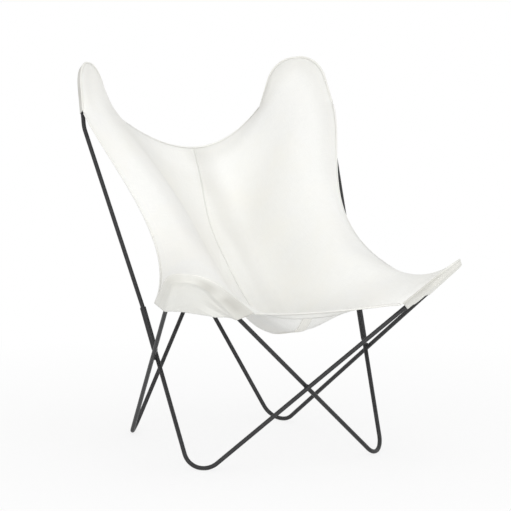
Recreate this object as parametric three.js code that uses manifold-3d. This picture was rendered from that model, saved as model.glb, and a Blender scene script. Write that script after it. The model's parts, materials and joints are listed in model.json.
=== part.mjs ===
import * as THREE from 'three';
import { mergeVertices } from 'three/addons/utils/BufferGeometryUtils.js';
import Module from 'manifold-3d';

const wasm = await Module();
wasm.setup();

// Butterfly sling chair. Millimetres, +Z up, the front of the seat faces -Y, the floor is z = 0.
// Left and right are those of somebody standing in front of the chair: left is -X.

// Round steel rod and the clearances between touching pieces.
const ROD_DIAMETER = 10;
const CROSSING_CLEARANCE = 0.3;
const ROD_SIDES = 12;
const BEND_STEPS = 8;

// Base loops: sharp corner points before bending, each loop crossing from one side to the other.
const FRONT_FOOT_HALF_SPREAD = 246;
const FRONT_FOOT_FORWARD = 242;
const REAR_FOOT_HALF_SPREAD = 195;
const REAR_FOOT_BACKWARD = 242;
const FRONT_CORNER_HALF_SPREAD = 371;
const FRONT_CORNER_FORWARD = 461;
const FRONT_CORNER_HEIGHT = 514;
const FOOT_BEND_RADIUS = 48;
const FRONT_CORNER_BEND_RADIUS = 48;
const FOOT_FLAT_DEPTH = 0.4;

// Legs that carry the back hoops, given at one level.
const LEG_LEVEL = 430;
const FRONT_LEG_HALF_SPREAD = 286.4;
const FRONT_LEG_BACKWARD = 14;
const REAR_LEG_CROSSOVER = 48.6;
const REAR_LEG_BACKWARD = 303.6;
const SOLVER_ROUNDS = 14;

// Sleeves welded on the legs, which the hoop legs slide into.
const SLEEVE_WALL = 1.7;
const SLEEVE_LENGTH = 108;
const SLEEVE_CLEARANCE = 0.3;
const SLEEVE_ABOVE_CROSSING = 14;
const SLEEVE_TAPER = 5;
const SLEEVE_SIDES = 20;
const SLEEVE_EDGE = 0.4;
const LEG_IN_SLEEVE = 40;
const ROD_END_GAP = 4;

// Back hoops.
const HOOP_CORNER_HALF_SPREAD = 357.6;
const HOOP_CORNER_BACKWARD = 390.2;
const HOOP_CORNER_HEIGHT = 1025.4;
const HOOP_BEND_RADIUS = 65.5;
const HOOP_FOLD_BELOW_TOP = 155;
const HOOP_FOLD_ANGLE = THREE.MathUtils.degToRad(13.75);
const HOOP_FOLD_RADIUS = 84;
const FOLD_STEPS = 3;

// Weld beads where two rods cross.
const WELD_LENGTH = 15;
const WELD_WIDTH = 12.4;
const WELD_THICKNESS = 7;
const WELD_SIDES = 16;
const WELD_CLEARANCE = 0.13;

// How far a cutting body runs past what it cuts, and the distance at which points are one.
const CUT_OVERRUN = 30;
const MERGE_DISTANCE = 0.001;

// Canvas sling.
const SHEET_THICKNESS = 2;
const POCKET_SHEET_THICKNESS = 1.6;
const SHEET_CLEARANCE = 0.3;
const BACK_POCKET_DEPTH = 112;
const FRONT_POCKET_DEPTH = 130;
const PANEL_COLUMNS = 14;
const PANEL_ROWS = 30;
const SEAM_CLEARANCE = 0.3;

// Lobe outlines: how far the cloth stands out beyond the rod at the tip and at the two sides of the
// pocket mouth, how far it rises off the rod at the mouth, and how fast both grow from the tip.
const BACK_TIP_OVERHANG = 3;
const BACK_INNER_OVERHANG = 6;
const BACK_OUTER_OVERHANG = 15.3;
const BACK_INNER_RISE = 1;
const BACK_OUTER_RISE = 2.2;
const BACK_GROWTH_POWER = 0.67;
const FRONT_TIP_OVERHANG = 8;
const FRONT_INNER_OVERHANG = 35;
const FRONT_OUTER_OVERHANG = 23;
const FRONT_MOUTH_RISE = 1;
const FRONT_GROWTH_POWER = 0.82;

// Hang of the free edges between the pocket mouths.
const SIDE_EDGE_INWARD = 84.3;
const SIDE_EDGE_BACKWARD = 53.7;
const SIDE_EDGE_DROP = 27.7;
const SIDE_EDGE_SKEW = 1.45;
const BACK_EDGE_FORWARD = 43.9;
const BACK_EDGE_DROP = 92.1;
const FRONT_EDGE_BACKWARD = 90;
const FRONT_EDGE_DROP = 23.2;

// Centre line of the sling: the lowest point of the seat, and the run to it from both edges.
const SEAT_LOW_HEIGHT = 290;
const SEAT_LOW_FORWARD = 150;
const BACKREST_RUN_SHARES = [0, 0.085, 0.2, 0.428, 0.771, 1];
const BACKREST_HEIGHT_SHARES = [1, 0.808, 0.577, 0.333, 0.069, 0];
const SEAT_RUN_SHARES = [0.5, 0.74, 1];
const SEAT_HEIGHT_SHARES = [0.105, 0.26, 1];
const BELLY_POWER = 5;
const MEMBRANE_ROUNDS = 220;
const MEMBRANE_STRIDE = 1.7;

// Soft folds that run from each corner of the sling towards the seat.
const FOLD_HEIGHT = 6;
const FOLD_WAVES = 4;
const VALLEY_DEPTH = 7;
const VALLEY_WIDTH_SHARE = 0.13;
const VALLEY_LENGTH_SHARE = 0.75;
const FOLD_START_SHARE = 0.125;
const FOLD_LENGTH_SHARE = 0.5;

// Hems and the seam tape under the sheet.
const HEM_WIDTH = 20;
const HEM_THICKNESS = 1.4;
const TAPE_WIDTH = 24;
const HEM_CLEARANCE = 0.8;
const HEM_END_CELL_SHARE = 0.5;
const SIDE_HEM_FRONT_CELL_SHARE = 1;
const TAPE_END_CELL_SHARE = 0.25;

// Control points along the sling edges: intervals in each lobe and in each free stretch.
const LOBE_INTERVALS = 6;
const CROSS_EDGE_INTERVALS = 16;
const SIDE_EDGE_INTERVALS = 28;

// Steps of the pocket sheets round the rod, along it and across the gap behind it.
const WRAP_STEPS = 3;
const ARC_STEPS = BEND_STEPS;
const STRAIGHT_STEPS = 3;
const FLAT_STEPS = 2;

const STEEL = { color: '#2f2f30', roughness: 0.42, metalness: 0.65 };
const WELD_METAL = { color: '#262627', roughness: 0.5, metalness: 0.6 };
const CANVAS = { color: '#f1f1ec', roughness: 0.92, metalness: 0 };
const CANVAS_BACK = { color: '#e9e9e3', roughness: 0.94, metalness: 0 };
const TAPE = { color: '#e4e4dd', roughness: 0.95, metalness: 0 };

const ROD_RADIUS = ROD_DIAMETER / 2;
const UP = new THREE.Vector3(0, 0, 1);
const FORWARD = new THREE.Vector3(0, -1, 0);
const BACKWARD = new THREE.Vector3(0, 1, 0);

const vec = (x, y, z) => new THREE.Vector3(x, y, z);
const between = (from, to) => to.clone().sub(from).normalize();
const along = (point, direction, distance) => point.clone().addScaledVector(direction, distance);

// Direction turned by an angle from one unit vector towards another that is square to it.
const turned = (from, towards, angle) => (
  from.clone().multiplyScalar(Math.cos(angle)).addScaledVector(towards, Math.sin(angle))
);

// Positions only, with shared corners joined.
function bareGeometry(geometry) {
  const bare = new THREE.BufferGeometry();
  bare.setAttribute('position', geometry.getAttribute('position').clone());
  if (geometry.index) {
    bare.setIndex(geometry.index.clone());
  }
  return mergeVertices(bare, MERGE_DISTANCE);
}

function toManifold(geometry) {
  const merged = bareGeometry(geometry);
  const vertProperties = new Float32Array(merged.getAttribute('position').array);
  const triVerts = new Uint32Array(merged.index.array);
  return new wasm.Manifold(new wasm.Mesh({ numProp: 3, vertProperties, triVerts }));
}

function fromManifold(solid) {
  const mesh = solid.getMesh();
  const positions = new Float32Array(mesh.vertProperties);
  const geometry = new THREE.BufferGeometry();
  geometry.setAttribute('position', new THREE.BufferAttribute(positions, 3));
  geometry.setIndex(new THREE.BufferAttribute(new Uint32Array(mesh.triVerts), 1));
  return geometry;
}

// A surface given by triangles over shared points becomes a closed sheet of even thickness.
function sheetSolid(points, normals, triangles, thickness) {
  const count = points.length;
  const positions = [];
  for (const side of [1, -1]) {
    points.forEach((point, i) => {
      positions.push(...along(point, normals[i], side * thickness / 2).toArray());
    });
  }
  const index = [];
  const openEdges = new Map();
  for (const [a, b, c] of triangles) {
    index.push(a, b, c, count + a, count + c, count + b);
    for (const [from, to] of [[a, b], [b, c], [c, a]]) {
      if (!openEdges.delete(`${to}_${from}`)) {
        openEdges.set(`${from}_${to}`, [from, to]);
      }
    }
  }
  for (const [from, to] of openEdges.values()) {
    index.push(from, count + from, to, to, count + from, count + to);
  }
  const geometry = new THREE.BufferGeometry();
  geometry.setAttribute('position', new THREE.Float32BufferAttribute(positions, 3));
  geometry.setIndex(index);
  return geometry;
}

function triangleNormal(points, [a, b, c]) {
  const ab = points[b].clone().sub(points[a]);
  const ac = points[c].clone().sub(points[a]);
  return ab.cross(ac);
}

function pointNormals(points, triangles) {
  const normals = points.map(() => vec(0, 0, 0));
  for (const triangle of triangles) {
    const face = triangleNormal(points, triangle);
    triangle.forEach((i) => normals[i].add(face));
  }
  return normals.map((normal) => normal.normalize());
}

// A path known at exact stations: one straight needs one step, a bend as many as it has stations.
class StationPath extends THREE.Curve {
  constructor(stations) {
    super();
    this.stations = stations;
  }

  pick(t, key, target) {
    const last = this.stations.length - 1;
    const place = THREE.MathUtils.clamp(t, 0, 1) * last;
    const i = Math.min(Math.floor(place), last - 1);
    return target.lerpVectors(this.stations[i][key], this.stations[i + 1][key], place - i);
  }

  getPoint(t, target = new THREE.Vector3()) {
    return this.pick(t, 'point', target);
  }

  getPointAt(t, target = new THREE.Vector3()) {
    return this.pick(t, 'point', target);
  }

  getTangentAt(t, target = new THREE.Vector3()) {
    return this.pick(t, 'tangent', target).normalize();
  }
}

function rodSolid(stations) {
  const shape = new THREE.Shape();
  shape.absarc(0, 0, ROD_RADIUS, 0, 2 * Math.PI, false);
  return new THREE.ExtrudeGeometry(shape, {
    extrudePath: new StationPath(stations),
    steps: stations.length - 1,
    curveSegments: ROD_SIDES,
    bevelEnabled: false,
  });
}

// Stations of a polyline whose inner corners are bent to the given radii.
function bentStations(corners, radii) {
  const stations = [{ point: corners[0].clone(), tangent: between(corners[0], corners[1]) }];
  for (let i = 1; i < corners.length - 1; i += 1) {
    const into = between(corners[i - 1], corners[i]);
    const outOf = between(corners[i], corners[i + 1]);
    const turn = into.angleTo(outOf);
    const inward = outOf.clone().sub(into).normalize();
    const centre = along(corners[i], inward, radii[i - 1] / Math.cos(turn / 2));
    const across = outOf.clone().add(into).normalize();
    for (let step = 0; step <= BEND_STEPS; step += 1) {
      const angle = turn * (step / BEND_STEPS - 1 / 2);
      const outward = turned(inward.clone().negate(), across, angle);
      const tangent = turned(across, inward, angle);
      stations.push({ point: along(centre, outward, radii[i - 1]), tangent });
    }
  }
  const end = corners.length - 1;
  stations.push({ point: corners[end].clone(), tangent: between(corners[end - 1], corners[end]) });
  return stations;
}

// Signed distance from one straight line to another, each given by two of its points, measured
// along their common normal on the side of the given direction.
function lineGap(a, b, c, d, facing) {
  const normal = b.clone().sub(a).cross(d.clone().sub(c)).normalize();
  return c.clone().sub(a).dot(normal) * Math.sign(normal.dot(facing));
}

function lineCrossing(a, b, c, d) {
  const u = between(a, b);
  const v = between(c, d);
  const w = a.clone().sub(c);
  const k = u.dot(v);
  return along(a, u, (k * v.dot(w) - u.dot(w)) / (1 - k * k));
}

// Height of a sharp foot corner at which the bent foot stands on the floor.
function footHeight(foot, one, two) {
  const first = between(foot, one);
  const second = between(foot, two);
  const bisector = first.clone().add(second).normalize();
  const plane = first.clone().cross(second).normalize();
  const reach = FOOT_BEND_RADIUS / Math.sin(first.angleTo(second) / 2);
  const fall = FOOT_BEND_RADIUS * Math.sqrt(1 - plane.z * plane.z);
  return ROD_RADIUS - FOOT_FLAT_DEPTH + fall - bisector.z * reach;
}

// Points of one loop. Side is -1 for the loop of the left hoop and +1 for that of the right hoop.
// The lean moves the front leg outwards and the other loop's front corner beside it inwards.
function loopPoints(side, legLean, cornerLean, shifts) {
  const corner = FRONT_CORNER_HALF_SPREAD - cornerLean;
  const leg = FRONT_LEG_HALF_SPREAD + legLean;
  const frontShift = side * shifts.front;
  const rearShift = side * shifts.rear;
  return {
    frontFoot: vec(side * FRONT_FOOT_HALF_SPREAD, frontShift - FRONT_FOOT_FORWARD, 0),
    frontCorner: vec(-side * corner, frontShift - FRONT_CORNER_FORWARD, FRONT_CORNER_HEIGHT),
    rearFoot: vec(-side * REAR_FOOT_HALF_SPREAD, rearShift + REAR_FOOT_BACKWARD, 0),
    frontLeg: vec(side * leg, frontShift + FRONT_LEG_BACKWARD, LEG_LEVEL),
    rearLeg: vec(side * REAR_LEG_CROSSOVER, rearShift + REAR_LEG_BACKWARD, LEG_LEVEL),
    hoopCorner: vec(side * HOOP_CORNER_HALF_SPREAD, rearShift + HOOP_CORNER_BACKWARD, HOOP_CORNER_HEIGHT),
  };
}

function standOnFloor(loop) {
  loop.frontFoot.z = footHeight(loop.frontFoot, loop.frontLeg, loop.frontCorner);
  loop.rearFoot.z = footHeight(loop.rearFoot, loop.rearLeg, loop.frontCorner);
}

// Both loops with every crossing one rod diameter and one clearance apart. At the front and rear
// crossings the loops shift apart; at the sides the leg and the rod beside it share the lean.
function solveLoops() {
  const pitch = ROD_DIAMETER + CROSSING_CLEARANCE;
  const legLeans = [0, 0];
  const cornerLeans = [0, 0];
  const shifts = { front: pitch / 2, rear: pitch / 2 };
  let solved = [];
  for (let round = 0; round < SOLVER_ROUNDS; round += 1) {
    solved = [
      loopPoints(-1, legLeans[0], cornerLeans[1], shifts),
      loopPoints(1, legLeans[1], cornerLeans[0], shifts),
    ];
    for (let settle = 0; settle < SOLVER_ROUNDS; settle += 1) {
      solved.forEach(standOnFloor);
    }
    const [left, right] = solved;
    const front = lineGap(left.frontFoot, left.frontCorner, right.frontFoot, right.frontCorner, BACKWARD);
    const rear = lineGap(left.rearFoot, left.rearLeg, right.rearFoot, right.rearLeg, BACKWARD);
    shifts.front += (pitch - front) / 2;
    shifts.rear += (pitch - rear) / 2;
    solved.forEach((loop, i) => {
      const other = solved[1 - i];
      const outward = vec(Math.sign(loop.frontLeg.x), 0, 0);
      const lines = [loop.frontFoot, loop.frontLeg, other.rearFoot, other.frontCorner];
      const lack = pitch - lineGap(...lines, outward);
      const place = lineCrossing(...lines);
      const legRise = (place.z - loop.frontFoot.z) / (LEG_LEVEL - loop.frontFoot.z);
      const cornerRise = (place.z - other.rearFoot.z) / (FRONT_CORNER_HEIGHT - other.rearFoot.z);
      legLeans[i] -= lack / legRise / 2;
      cornerLeans[i] -= lack / cornerRise / 2;
    });
  }
  return solved;
}

const loops = solveLoops();
const [leftLoop, rightLoop] = loops;

// Where two rods cross, each given by its loop and the names of two of its points.
function crossingOf(firstLoop, [a, b], secondLoop, [c, d]) {
  const one = [firstLoop[a], firstLoop[b]];
  const two = [secondLoop[c], secondLoop[d]];
  const first = lineCrossing(...one, ...two);
  const second = lineCrossing(...two, ...one);
  const middle = first.clone().lerp(second, 1 / 2);
  return { middle, first, second, one: between(...one), two: between(...two) };
}

const FRONT_ROD = ['frontFoot', 'frontCorner'];
const REAR_ROD = ['rearFoot', 'frontCorner'];
const FRONT_LEG = ['frontFoot', 'frontLeg'];
const REAR_LEG = ['rearFoot', 'rearLeg'];
const crossings = {
  front: crossingOf(leftLoop, FRONT_ROD, rightLoop, FRONT_ROD),
  rear: crossingOf(leftLoop, REAR_LEG, rightLoop, REAR_LEG),
  left: crossingOf(leftLoop, FRONT_LEG, rightLoop, REAR_ROD),
  right: crossingOf(rightLoop, FRONT_LEG, leftLoop, REAR_ROD),
};

// Sleeve seats: lower end, direction up the leg, and mouth.
function sleeveSeat(foot, leg, crossingPoint) {
  const direction = between(foot, leg);
  const bottom = along(crossingPoint, direction, SLEEVE_ABOVE_CROSSING);
  return { bottom, direction, mouth: along(bottom, direction, SLEEVE_LENGTH) };
}

const sleeves = {
  left: sleeveSeat(leftLoop.frontFoot, leftLoop.frontLeg, crossings.left.first),
  right: sleeveSeat(rightLoop.frontFoot, rightLoop.frontLeg, crossings.right.first),
  rear_left: sleeveSeat(leftLoop.rearFoot, leftLoop.rearLeg, crossings.rear.first),
  rear_right: sleeveSeat(rightLoop.rearFoot, rightLoop.rearLeg, crossings.rear.second),
};

// A floor slab larger than the chair, to cut the flats of the feet.
function floorSlab() {
  const width = 2 * (Math.max(FRONT_CORNER_FORWARD, HOOP_CORNER_BACKWARD) + CUT_OVERRUN);
  const slab = new THREE.BoxGeometry(width, width, CUT_OVERRUN);
  slab.translate(0, 0, -CUT_OVERRUN / 2);
  return toManifold(slab);
}

function baseRod(loop, frontSleeve, rearSleeve) {
  const stations = bentStations([
    along(frontSleeve.bottom, frontSleeve.direction, LEG_IN_SLEEVE),
    loop.frontFoot,
    loop.frontCorner,
    loop.rearFoot,
    along(rearSleeve.bottom, rearSleeve.direction, LEG_IN_SLEEVE),
  ], [FOOT_BEND_RADIUS, FRONT_CORNER_BEND_RADIUS, FOOT_BEND_RADIUS]);
  return fromManifold(toManifold(rodSolid(stations)).subtract(floorSlab()));
}

// Frame of a bent corner: outward axis, direction across, and the face that carries the sheet.
function cornerFrame(corner, inner, outer, bendRadius, facing) {
  const first = between(corner, inner);
  const second = between(corner, outer);
  const axis = first.clone().add(second).normalize().negate();
  const across = second.clone().sub(first).normalize();
  const half = first.angleTo(second) / 2;
  const normal = across.clone().cross(axis).normalize();
  normal.multiplyScalar(Math.sign(normal.dot(facing)));
  const apex = along(corner, axis, bendRadius - bendRadius / Math.sin(half));
  return { corner, apex, axis, across, normal, half, bendRadius };
}

const hoopFrames = loops.map((loop, i) => {
  const inner = i === 0 ? sleeves.rear_left.mouth : sleeves.rear_right.mouth;
  const outer = i === 0 ? sleeves.left.mouth : sleeves.right.mouth;
  return cornerFrame(loop.hoopCorner, inner, outer, HOOP_BEND_RADIUS, FORWARD);
});

// Place of a point of the flat hoop after its top is folded forward about a level line.
function foldedPlace(frame, acrossDistance, axisDistance, acrossRate, axisRate) {
  const height = axisDistance + HOOP_FOLD_BELOW_TOP;
  const turn = THREE.MathUtils.clamp(height / HOOP_FOLD_RADIUS, 0, HOOP_FOLD_ANGLE);
  const rest = Math.max(height - HOOP_FOLD_RADIUS * HOOP_FOLD_ANGLE, 0);
  const rise = Math.min(height, 0) + HOOP_FOLD_RADIUS * Math.sin(turn) + rest * Math.cos(HOOP_FOLD_ANGLE);
  const out = HOOP_FOLD_RADIUS * (1 - Math.cos(turn)) + rest * Math.sin(HOOP_FOLD_ANGLE);
  const point = along(frame.apex, frame.axis, rise - HOOP_FOLD_BELOW_TOP);
  point.addScaledVector(frame.across, acrossDistance).addScaledVector(frame.normal, out);
  const tangent = frame.across.clone().multiplyScalar(acrossRate);
  tangent.addScaledVector(frame.axis, axisRate * Math.cos(turn));
  tangent.addScaledVector(frame.normal, axisRate * Math.sin(turn));
  return { point, tangent };
}

// Frame of the folded top of a hoop.
function foldedFrame(frame) {
  const { point } = foldedPlace(frame, 0, 0, 0, 1);
  const axis = turned(frame.axis, frame.normal, HOOP_FOLD_ANGLE);
  const normal = turned(frame.normal, frame.axis, -HOOP_FOLD_ANGLE);
  return { ...frame, apex: point, axis, normal };
}

function hoopStations(frame, innerSleeve, outerSleeve) {
  const { half, bendRadius } = frame;
  const inserted = SLEEVE_LENGTH - LEG_IN_SLEEVE - ROD_END_GAP;
  const depth = bendRadius / Math.sin(half) - bendRadius;
  const foldLength = HOOP_FOLD_RADIUS * HOOP_FOLD_ANGLE;
  const legPlace = (side, drop) => foldedPlace(
    frame,
    side * (drop + depth) * Math.tan(half),
    -drop,
    -side * Math.sin(half),
    Math.cos(half),
  );
  const legDrops = [HOOP_FOLD_BELOW_TOP];
  for (let step = 1; step <= FOLD_STEPS; step += 1) {
    legDrops.push(HOOP_FOLD_BELOW_TOP - foldLength * step / FOLD_STEPS);
  }
  const outerLeg = legDrops.map((drop) => legPlace(1, drop));
  const innerLeg = legDrops.map((drop) => legPlace(-1, drop)).reverse();
  innerLeg.forEach((station) => station.tangent.negate());
  const turn = Math.PI / 2 - half;
  const arc = [];
  for (let step = 0; step <= 2 * BEND_STEPS; step += 1) {
    const angle = turn * (1 - step / BEND_STEPS);
    const reach = bendRadius * Math.sin(angle);
    const drop = bendRadius * (1 - Math.cos(angle));
    arc.push(foldedPlace(frame, reach, -drop, -Math.cos(angle), Math.sin(angle)));
  }
  const insert = (sleeve, next) => {
    const end = along(sleeve.mouth, sleeve.direction, -inserted);
    const upward = between(sleeve.mouth, next.point);
    return [
      { point: end, tangent: sleeve.direction.clone() },
      { point: sleeve.mouth.clone(), tangent: sleeve.direction.clone().add(upward).normalize() },
    ];
  };
  const start = insert(outerSleeve, outerLeg[0]);
  const finish = insert(innerSleeve, innerLeg[innerLeg.length - 1]).reverse();
  finish.forEach((station) => station.tangent.negate());
  return [...start, ...outerLeg, ...arc, ...innerLeg, ...finish];
}

function sleeveSolid(seat) {
  const bore = ROD_RADIUS + SLEEVE_CLEARANCE;
  const outside = bore + SLEEVE_WALL;
  const profile = [
    new THREE.Vector2(bore, 0),
    new THREE.Vector2(bore + SLEEVE_EDGE, 0),
    new THREE.Vector2(outside, SLEEVE_TAPER),
    new THREE.Vector2(outside, SLEEVE_LENGTH - SLEEVE_EDGE),
    new THREE.Vector2(outside - SLEEVE_EDGE, SLEEVE_LENGTH),
    new THREE.Vector2(bore, SLEEVE_LENGTH),
    new THREE.Vector2(bore, 0),
  ];
  const geometry = new THREE.LatheGeometry(profile, SLEEVE_SIDES);
  geometry.rotateX(Math.PI / 2);
  return geometry;
}

// A bead in the notch between two crossing rods, cut back from both.
function weldSolid(crossing) {
  const bead = new THREE.SphereGeometry(1, WELD_SIDES, WELD_SIDES / 2);
  bead.scale(WELD_LENGTH / 2, WELD_WIDTH / 2, WELD_THICKNESS / 2);
  const middle = crossing.one.clone().add(crossing.two).normalize();
  const normal = crossing.one.clone().cross(crossing.two).normalize();
  const side = normal.clone().cross(middle);
  bead.applyMatrix4(new THREE.Matrix4().makeBasis(middle, side, normal).setPosition(crossing.middle));
  let solid = toManifold(bead);
  const grown = ROD_RADIUS + WELD_CLEARANCE;
  const length = WELD_LENGTH + 2 * CUT_OVERRUN;
  for (const [point, direction] of [[crossing.first, crossing.one], [crossing.second, crossing.two]]) {
    const rod = new THREE.CylinderGeometry(grown, grown, length, 2 * ROD_SIDES);
    rod.applyQuaternion(new THREE.Quaternion().setFromUnitVectors(vec(0, 1, 0), direction));
    rod.translate(point.x, point.y, point.z);
    solid = solid.subtract(toManifold(rod));
  }
  return fromManifold(solid);
}

const TIP_RISE = ROD_RADIUS + SHEET_CLEARANCE + SHEET_THICKNESS / 2;

function lobe(frame, outline) {
  const turn = Math.PI / 2 - frame.half;
  const arcDepth = frame.bendRadius * (1 - Math.sin(frame.half));
  const straight = (outline.depth - arcDepth) / Math.cos(frame.half);
  return {
    ...frame,
    turn,
    straight,
    length: frame.bendRadius * turn + straight,
    centre: along(frame.apex, frame.axis, -frame.bendRadius),
    outline,
  };
}

const frontOutline = {
  depth: FRONT_POCKET_DEPTH,
  tip: FRONT_TIP_OVERHANG,
  mouth: { '-1': FRONT_INNER_OVERHANG, 1: FRONT_OUTER_OVERHANG },
  rise: { '-1': FRONT_MOUTH_RISE, 1: FRONT_MOUTH_RISE },
  power: FRONT_GROWTH_POWER,
};
const backOutline = {
  depth: BACK_POCKET_DEPTH,
  tip: BACK_TIP_OVERHANG,
  mouth: { '-1': BACK_INNER_OVERHANG, 1: BACK_OUTER_OVERHANG },
  rise: { '-1': BACK_INNER_RISE, 1: BACK_OUTER_RISE },
  power: BACK_GROWTH_POWER,
};
const frontLobes = loops.map((loop) => {
  const { frontCorner, frontFoot, rearFoot } = loop === leftLoop ? rightLoop : leftLoop;
  const frame = cornerFrame(frontCorner, frontFoot, rearFoot, FRONT_CORNER_BEND_RADIUS, UP);
  return lobe(frame, frontOutline);
});
const backLobes = hoopFrames.map((frame) => lobe(foldedFrame(frame), backOutline));

// Rod axis, outward direction, overhang and rise at a share of the way from the tip to the mouth.
function lobeStation(tip, side, share) {
  const run = share * tip.length;
  const arc = tip.bendRadius * tip.turn;
  const angle = Math.min(run, arc) / tip.bendRadius;
  const sideways = tip.across.clone().multiplyScalar(side);
  const outward = turned(tip.axis, sideways, angle);
  const fall = turned(tip.axis.clone().negate(), sideways, tip.half);
  const beyond = Math.max(run - arc, 0);
  const rod = along(tip.centre, outward, tip.bendRadius).addScaledVector(fall, beyond);
  const { outline } = tip;
  const grow = share ** outline.power;
  return {
    rod,
    outward,
    beyond: beyond / tip.straight,
    overhang: ROD_RADIUS + THREE.MathUtils.lerp(outline.tip, outline.mouth[side], grow),
    rise: TIP_RISE + outline.rise[side] * grow,
  };
}

function outlinePoint(tip, side, share) {
  const station = lobeStation(tip, side, share);
  return along(station.rod, station.outward, station.overhang).addScaledVector(tip.normal, station.rise);
}

// Edge of the sling from one tip down to its mouth, along the hanging stretch and up to the next tip.
// A skew above 1 moves the deepest point of the hanging stretch towards its end.
function edgeCurve(start, startSide, end, endSide, hang, skew, freeIntervals) {
  const points = [];
  for (let i = 0; i <= LOBE_INTERVALS; i += 1) {
    points.push(outlinePoint(start, startSide, i / LOBE_INTERVALS));
  }
  const from = points[LOBE_INTERVALS];
  const to = outlinePoint(end, endSide, 1);
  for (let i = 1; i < freeIntervals; i += 1) {
    const t = i / freeIntervals;
    const skewed = t ** skew;
    points.push(from.clone().lerp(to, t).addScaledVector(hang, 4 * skewed * (1 - skewed)));
  }
  for (let i = LOBE_INTERVALS; i >= 0; i -= 1) {
    points.push(outlinePoint(end, endSide, i / LOBE_INTERVALS));
  }
  return new THREE.CatmullRomCurve3(points, false, 'centripetal');
}

const [backLeft, backRight] = backLobes;
const [frontLeft, frontRight] = frontLobes;
const backHang = vec(0, -BACK_EDGE_FORWARD, -BACK_EDGE_DROP);
const frontHang = vec(0, FRONT_EDGE_BACKWARD, -FRONT_EDGE_DROP);
const leftHang = vec(SIDE_EDGE_INWARD, SIDE_EDGE_BACKWARD, -SIDE_EDGE_DROP);
const rightHang = vec(-SIDE_EDGE_INWARD, SIDE_EDGE_BACKWARD, -SIDE_EDGE_DROP);
const edges = {
  back: edgeCurve(backLeft, -1, backRight, -1, backHang, 1, CROSS_EDGE_INTERVALS),
  front: edgeCurve(frontLeft, -1, frontRight, -1, frontHang, 1, CROSS_EDGE_INTERVALS),
  left: edgeCurve(backLeft, 1, frontLeft, 1, leftHang, SIDE_EDGE_SKEW, SIDE_EDGE_INTERVALS),
  right: edgeCurve(backRight, 1, frontRight, 1, rightHang, SIDE_EDGE_SKEW, SIDE_EDGE_INTERVALS),
};

// Centre line from the middle of the back edge through the lowest point to the middle of the front edge.
function centreLine() {
  const back = edges.back.getPoint(1 / 2);
  const front = edges.front.getPoint(1 / 2);
  const points = BACKREST_RUN_SHARES.map((run, i) => vec(
    0,
    THREE.MathUtils.lerp(back.y, -SEAT_LOW_FORWARD, run),
    THREE.MathUtils.lerp(SEAT_LOW_HEIGHT, back.z, BACKREST_HEIGHT_SHARES[i]),
  ));
  SEAT_RUN_SHARES.forEach((run, i) => points.push(vec(
    0,
    THREE.MathUtils.lerp(-SEAT_LOW_FORWARD, front.y, run),
    THREE.MathUtils.lerp(SEAT_LOW_HEIGHT, front.z, SEAT_HEIGHT_SHARES[i]),
  )));
  return new THREE.CatmullRomCurve3(points, false, 'centripetal');
}

const centre = centreLine();

// Patch spanned by the four edges; across and down both run from 0 to 1.
function edgePatch(across, down) {
  const place = vec(0, 0, 0);
  place.addScaledVector(edges.back.getPoint(across), 1 - down);
  place.addScaledVector(edges.front.getPoint(across), down);
  place.addScaledVector(edges.left.getPoint(down), 1 - across);
  place.addScaledVector(edges.right.getPoint(down), across);
  place.addScaledVector(edges.back.getPoint(0), -(1 - across) * (1 - down));
  place.addScaledVector(edges.back.getPoint(1), -across * (1 - down));
  place.addScaledVector(edges.front.getPoint(0), -(1 - across) * down);
  place.addScaledVector(edges.front.getPoint(1), -across * down);
  return place;
}

// Height of the soft folds above the plain hanging surface.
function foldRise(across, down) {
  let rise = 0;
  for (const [cornerAcross, cornerDown] of [[0, 0], [1, 0], [0, 1], [1, 1]]) {
    const a = Math.abs(across - cornerAcross);
    const b = Math.abs(down - cornerDown);
    const reach = Math.hypot(a, b);
    const angle = Math.atan2(b, a) / (Math.PI / 2);
    const progress = THREE.MathUtils.clamp((reach - FOLD_START_SHARE) / FOLD_LENGTH_SHARE, 0, 1);
    const fade = Math.sin(Math.PI * progress);
    rise += FOLD_HEIGHT * fade * Math.sin(Math.PI * FOLD_WAVES * angle);
  }
  const fromCentre = (across - 1 / 2) / VALLEY_WIDTH_SHARE;
  const fromBack = Math.min(down / VALLEY_LENGTH_SHARE, 1);
  const valley = Math.exp(-fromCentre * fromCentre) * Math.sin(Math.PI * fromBack);
  return rise - VALLEY_DEPTH * valley;
}

// Grid of the sling: every inner point rests at the mean of its neighbours, as in a taut membrane,
// and the belly is then pulled down to the centre line.
function slingGrid() {
  const columns = 2 * PANEL_COLUMNS;
  const rows = [];
  for (let j = 0; j <= PANEL_ROWS; j += 1) {
    const row = [];
    for (let i = 0; i <= columns; i += 1) {
      row.push(edgePatch(i / columns, j / PANEL_ROWS));
    }
    rows.push(row);
  }
  for (let round = 0; round < MEMBRANE_ROUNDS; round += 1) {
    for (let j = 1; j < PANEL_ROWS; j += 1) {
      for (let i = 1; i < columns; i += 1) {
        const mean = rows[j][i - 1].clone().add(rows[j][i + 1]).add(rows[j - 1][i]).add(rows[j + 1][i]);
        mean.divideScalar(4);
        rows[j][i].lerp(mean, MEMBRANE_STRIDE);
      }
    }
  }
  return rows.flatMap((row, j) => {
    const pull = centre.getPointAt(j / PANEL_ROWS).sub(row[PANEL_COLUMNS]);
    return row.map((point, i) => {
      const offCentre = 2 * i / columns - 1;
      return point.clone().addScaledVector(pull, Math.pow(1 - offCentre * offCentre, BELLY_POWER));
    });
  });
}

const GRID_COLUMNS = 2 * PANEL_COLUMNS;
const gridIndex = (i, j) => j * (GRID_COLUMNS + 1) + i;

// The diagonals of the grid cells run out from the tips of the lobes.
const isFalling = (i, j) => (i < PANEL_COLUMNS) === (j < PANEL_ROWS / 2);

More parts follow.
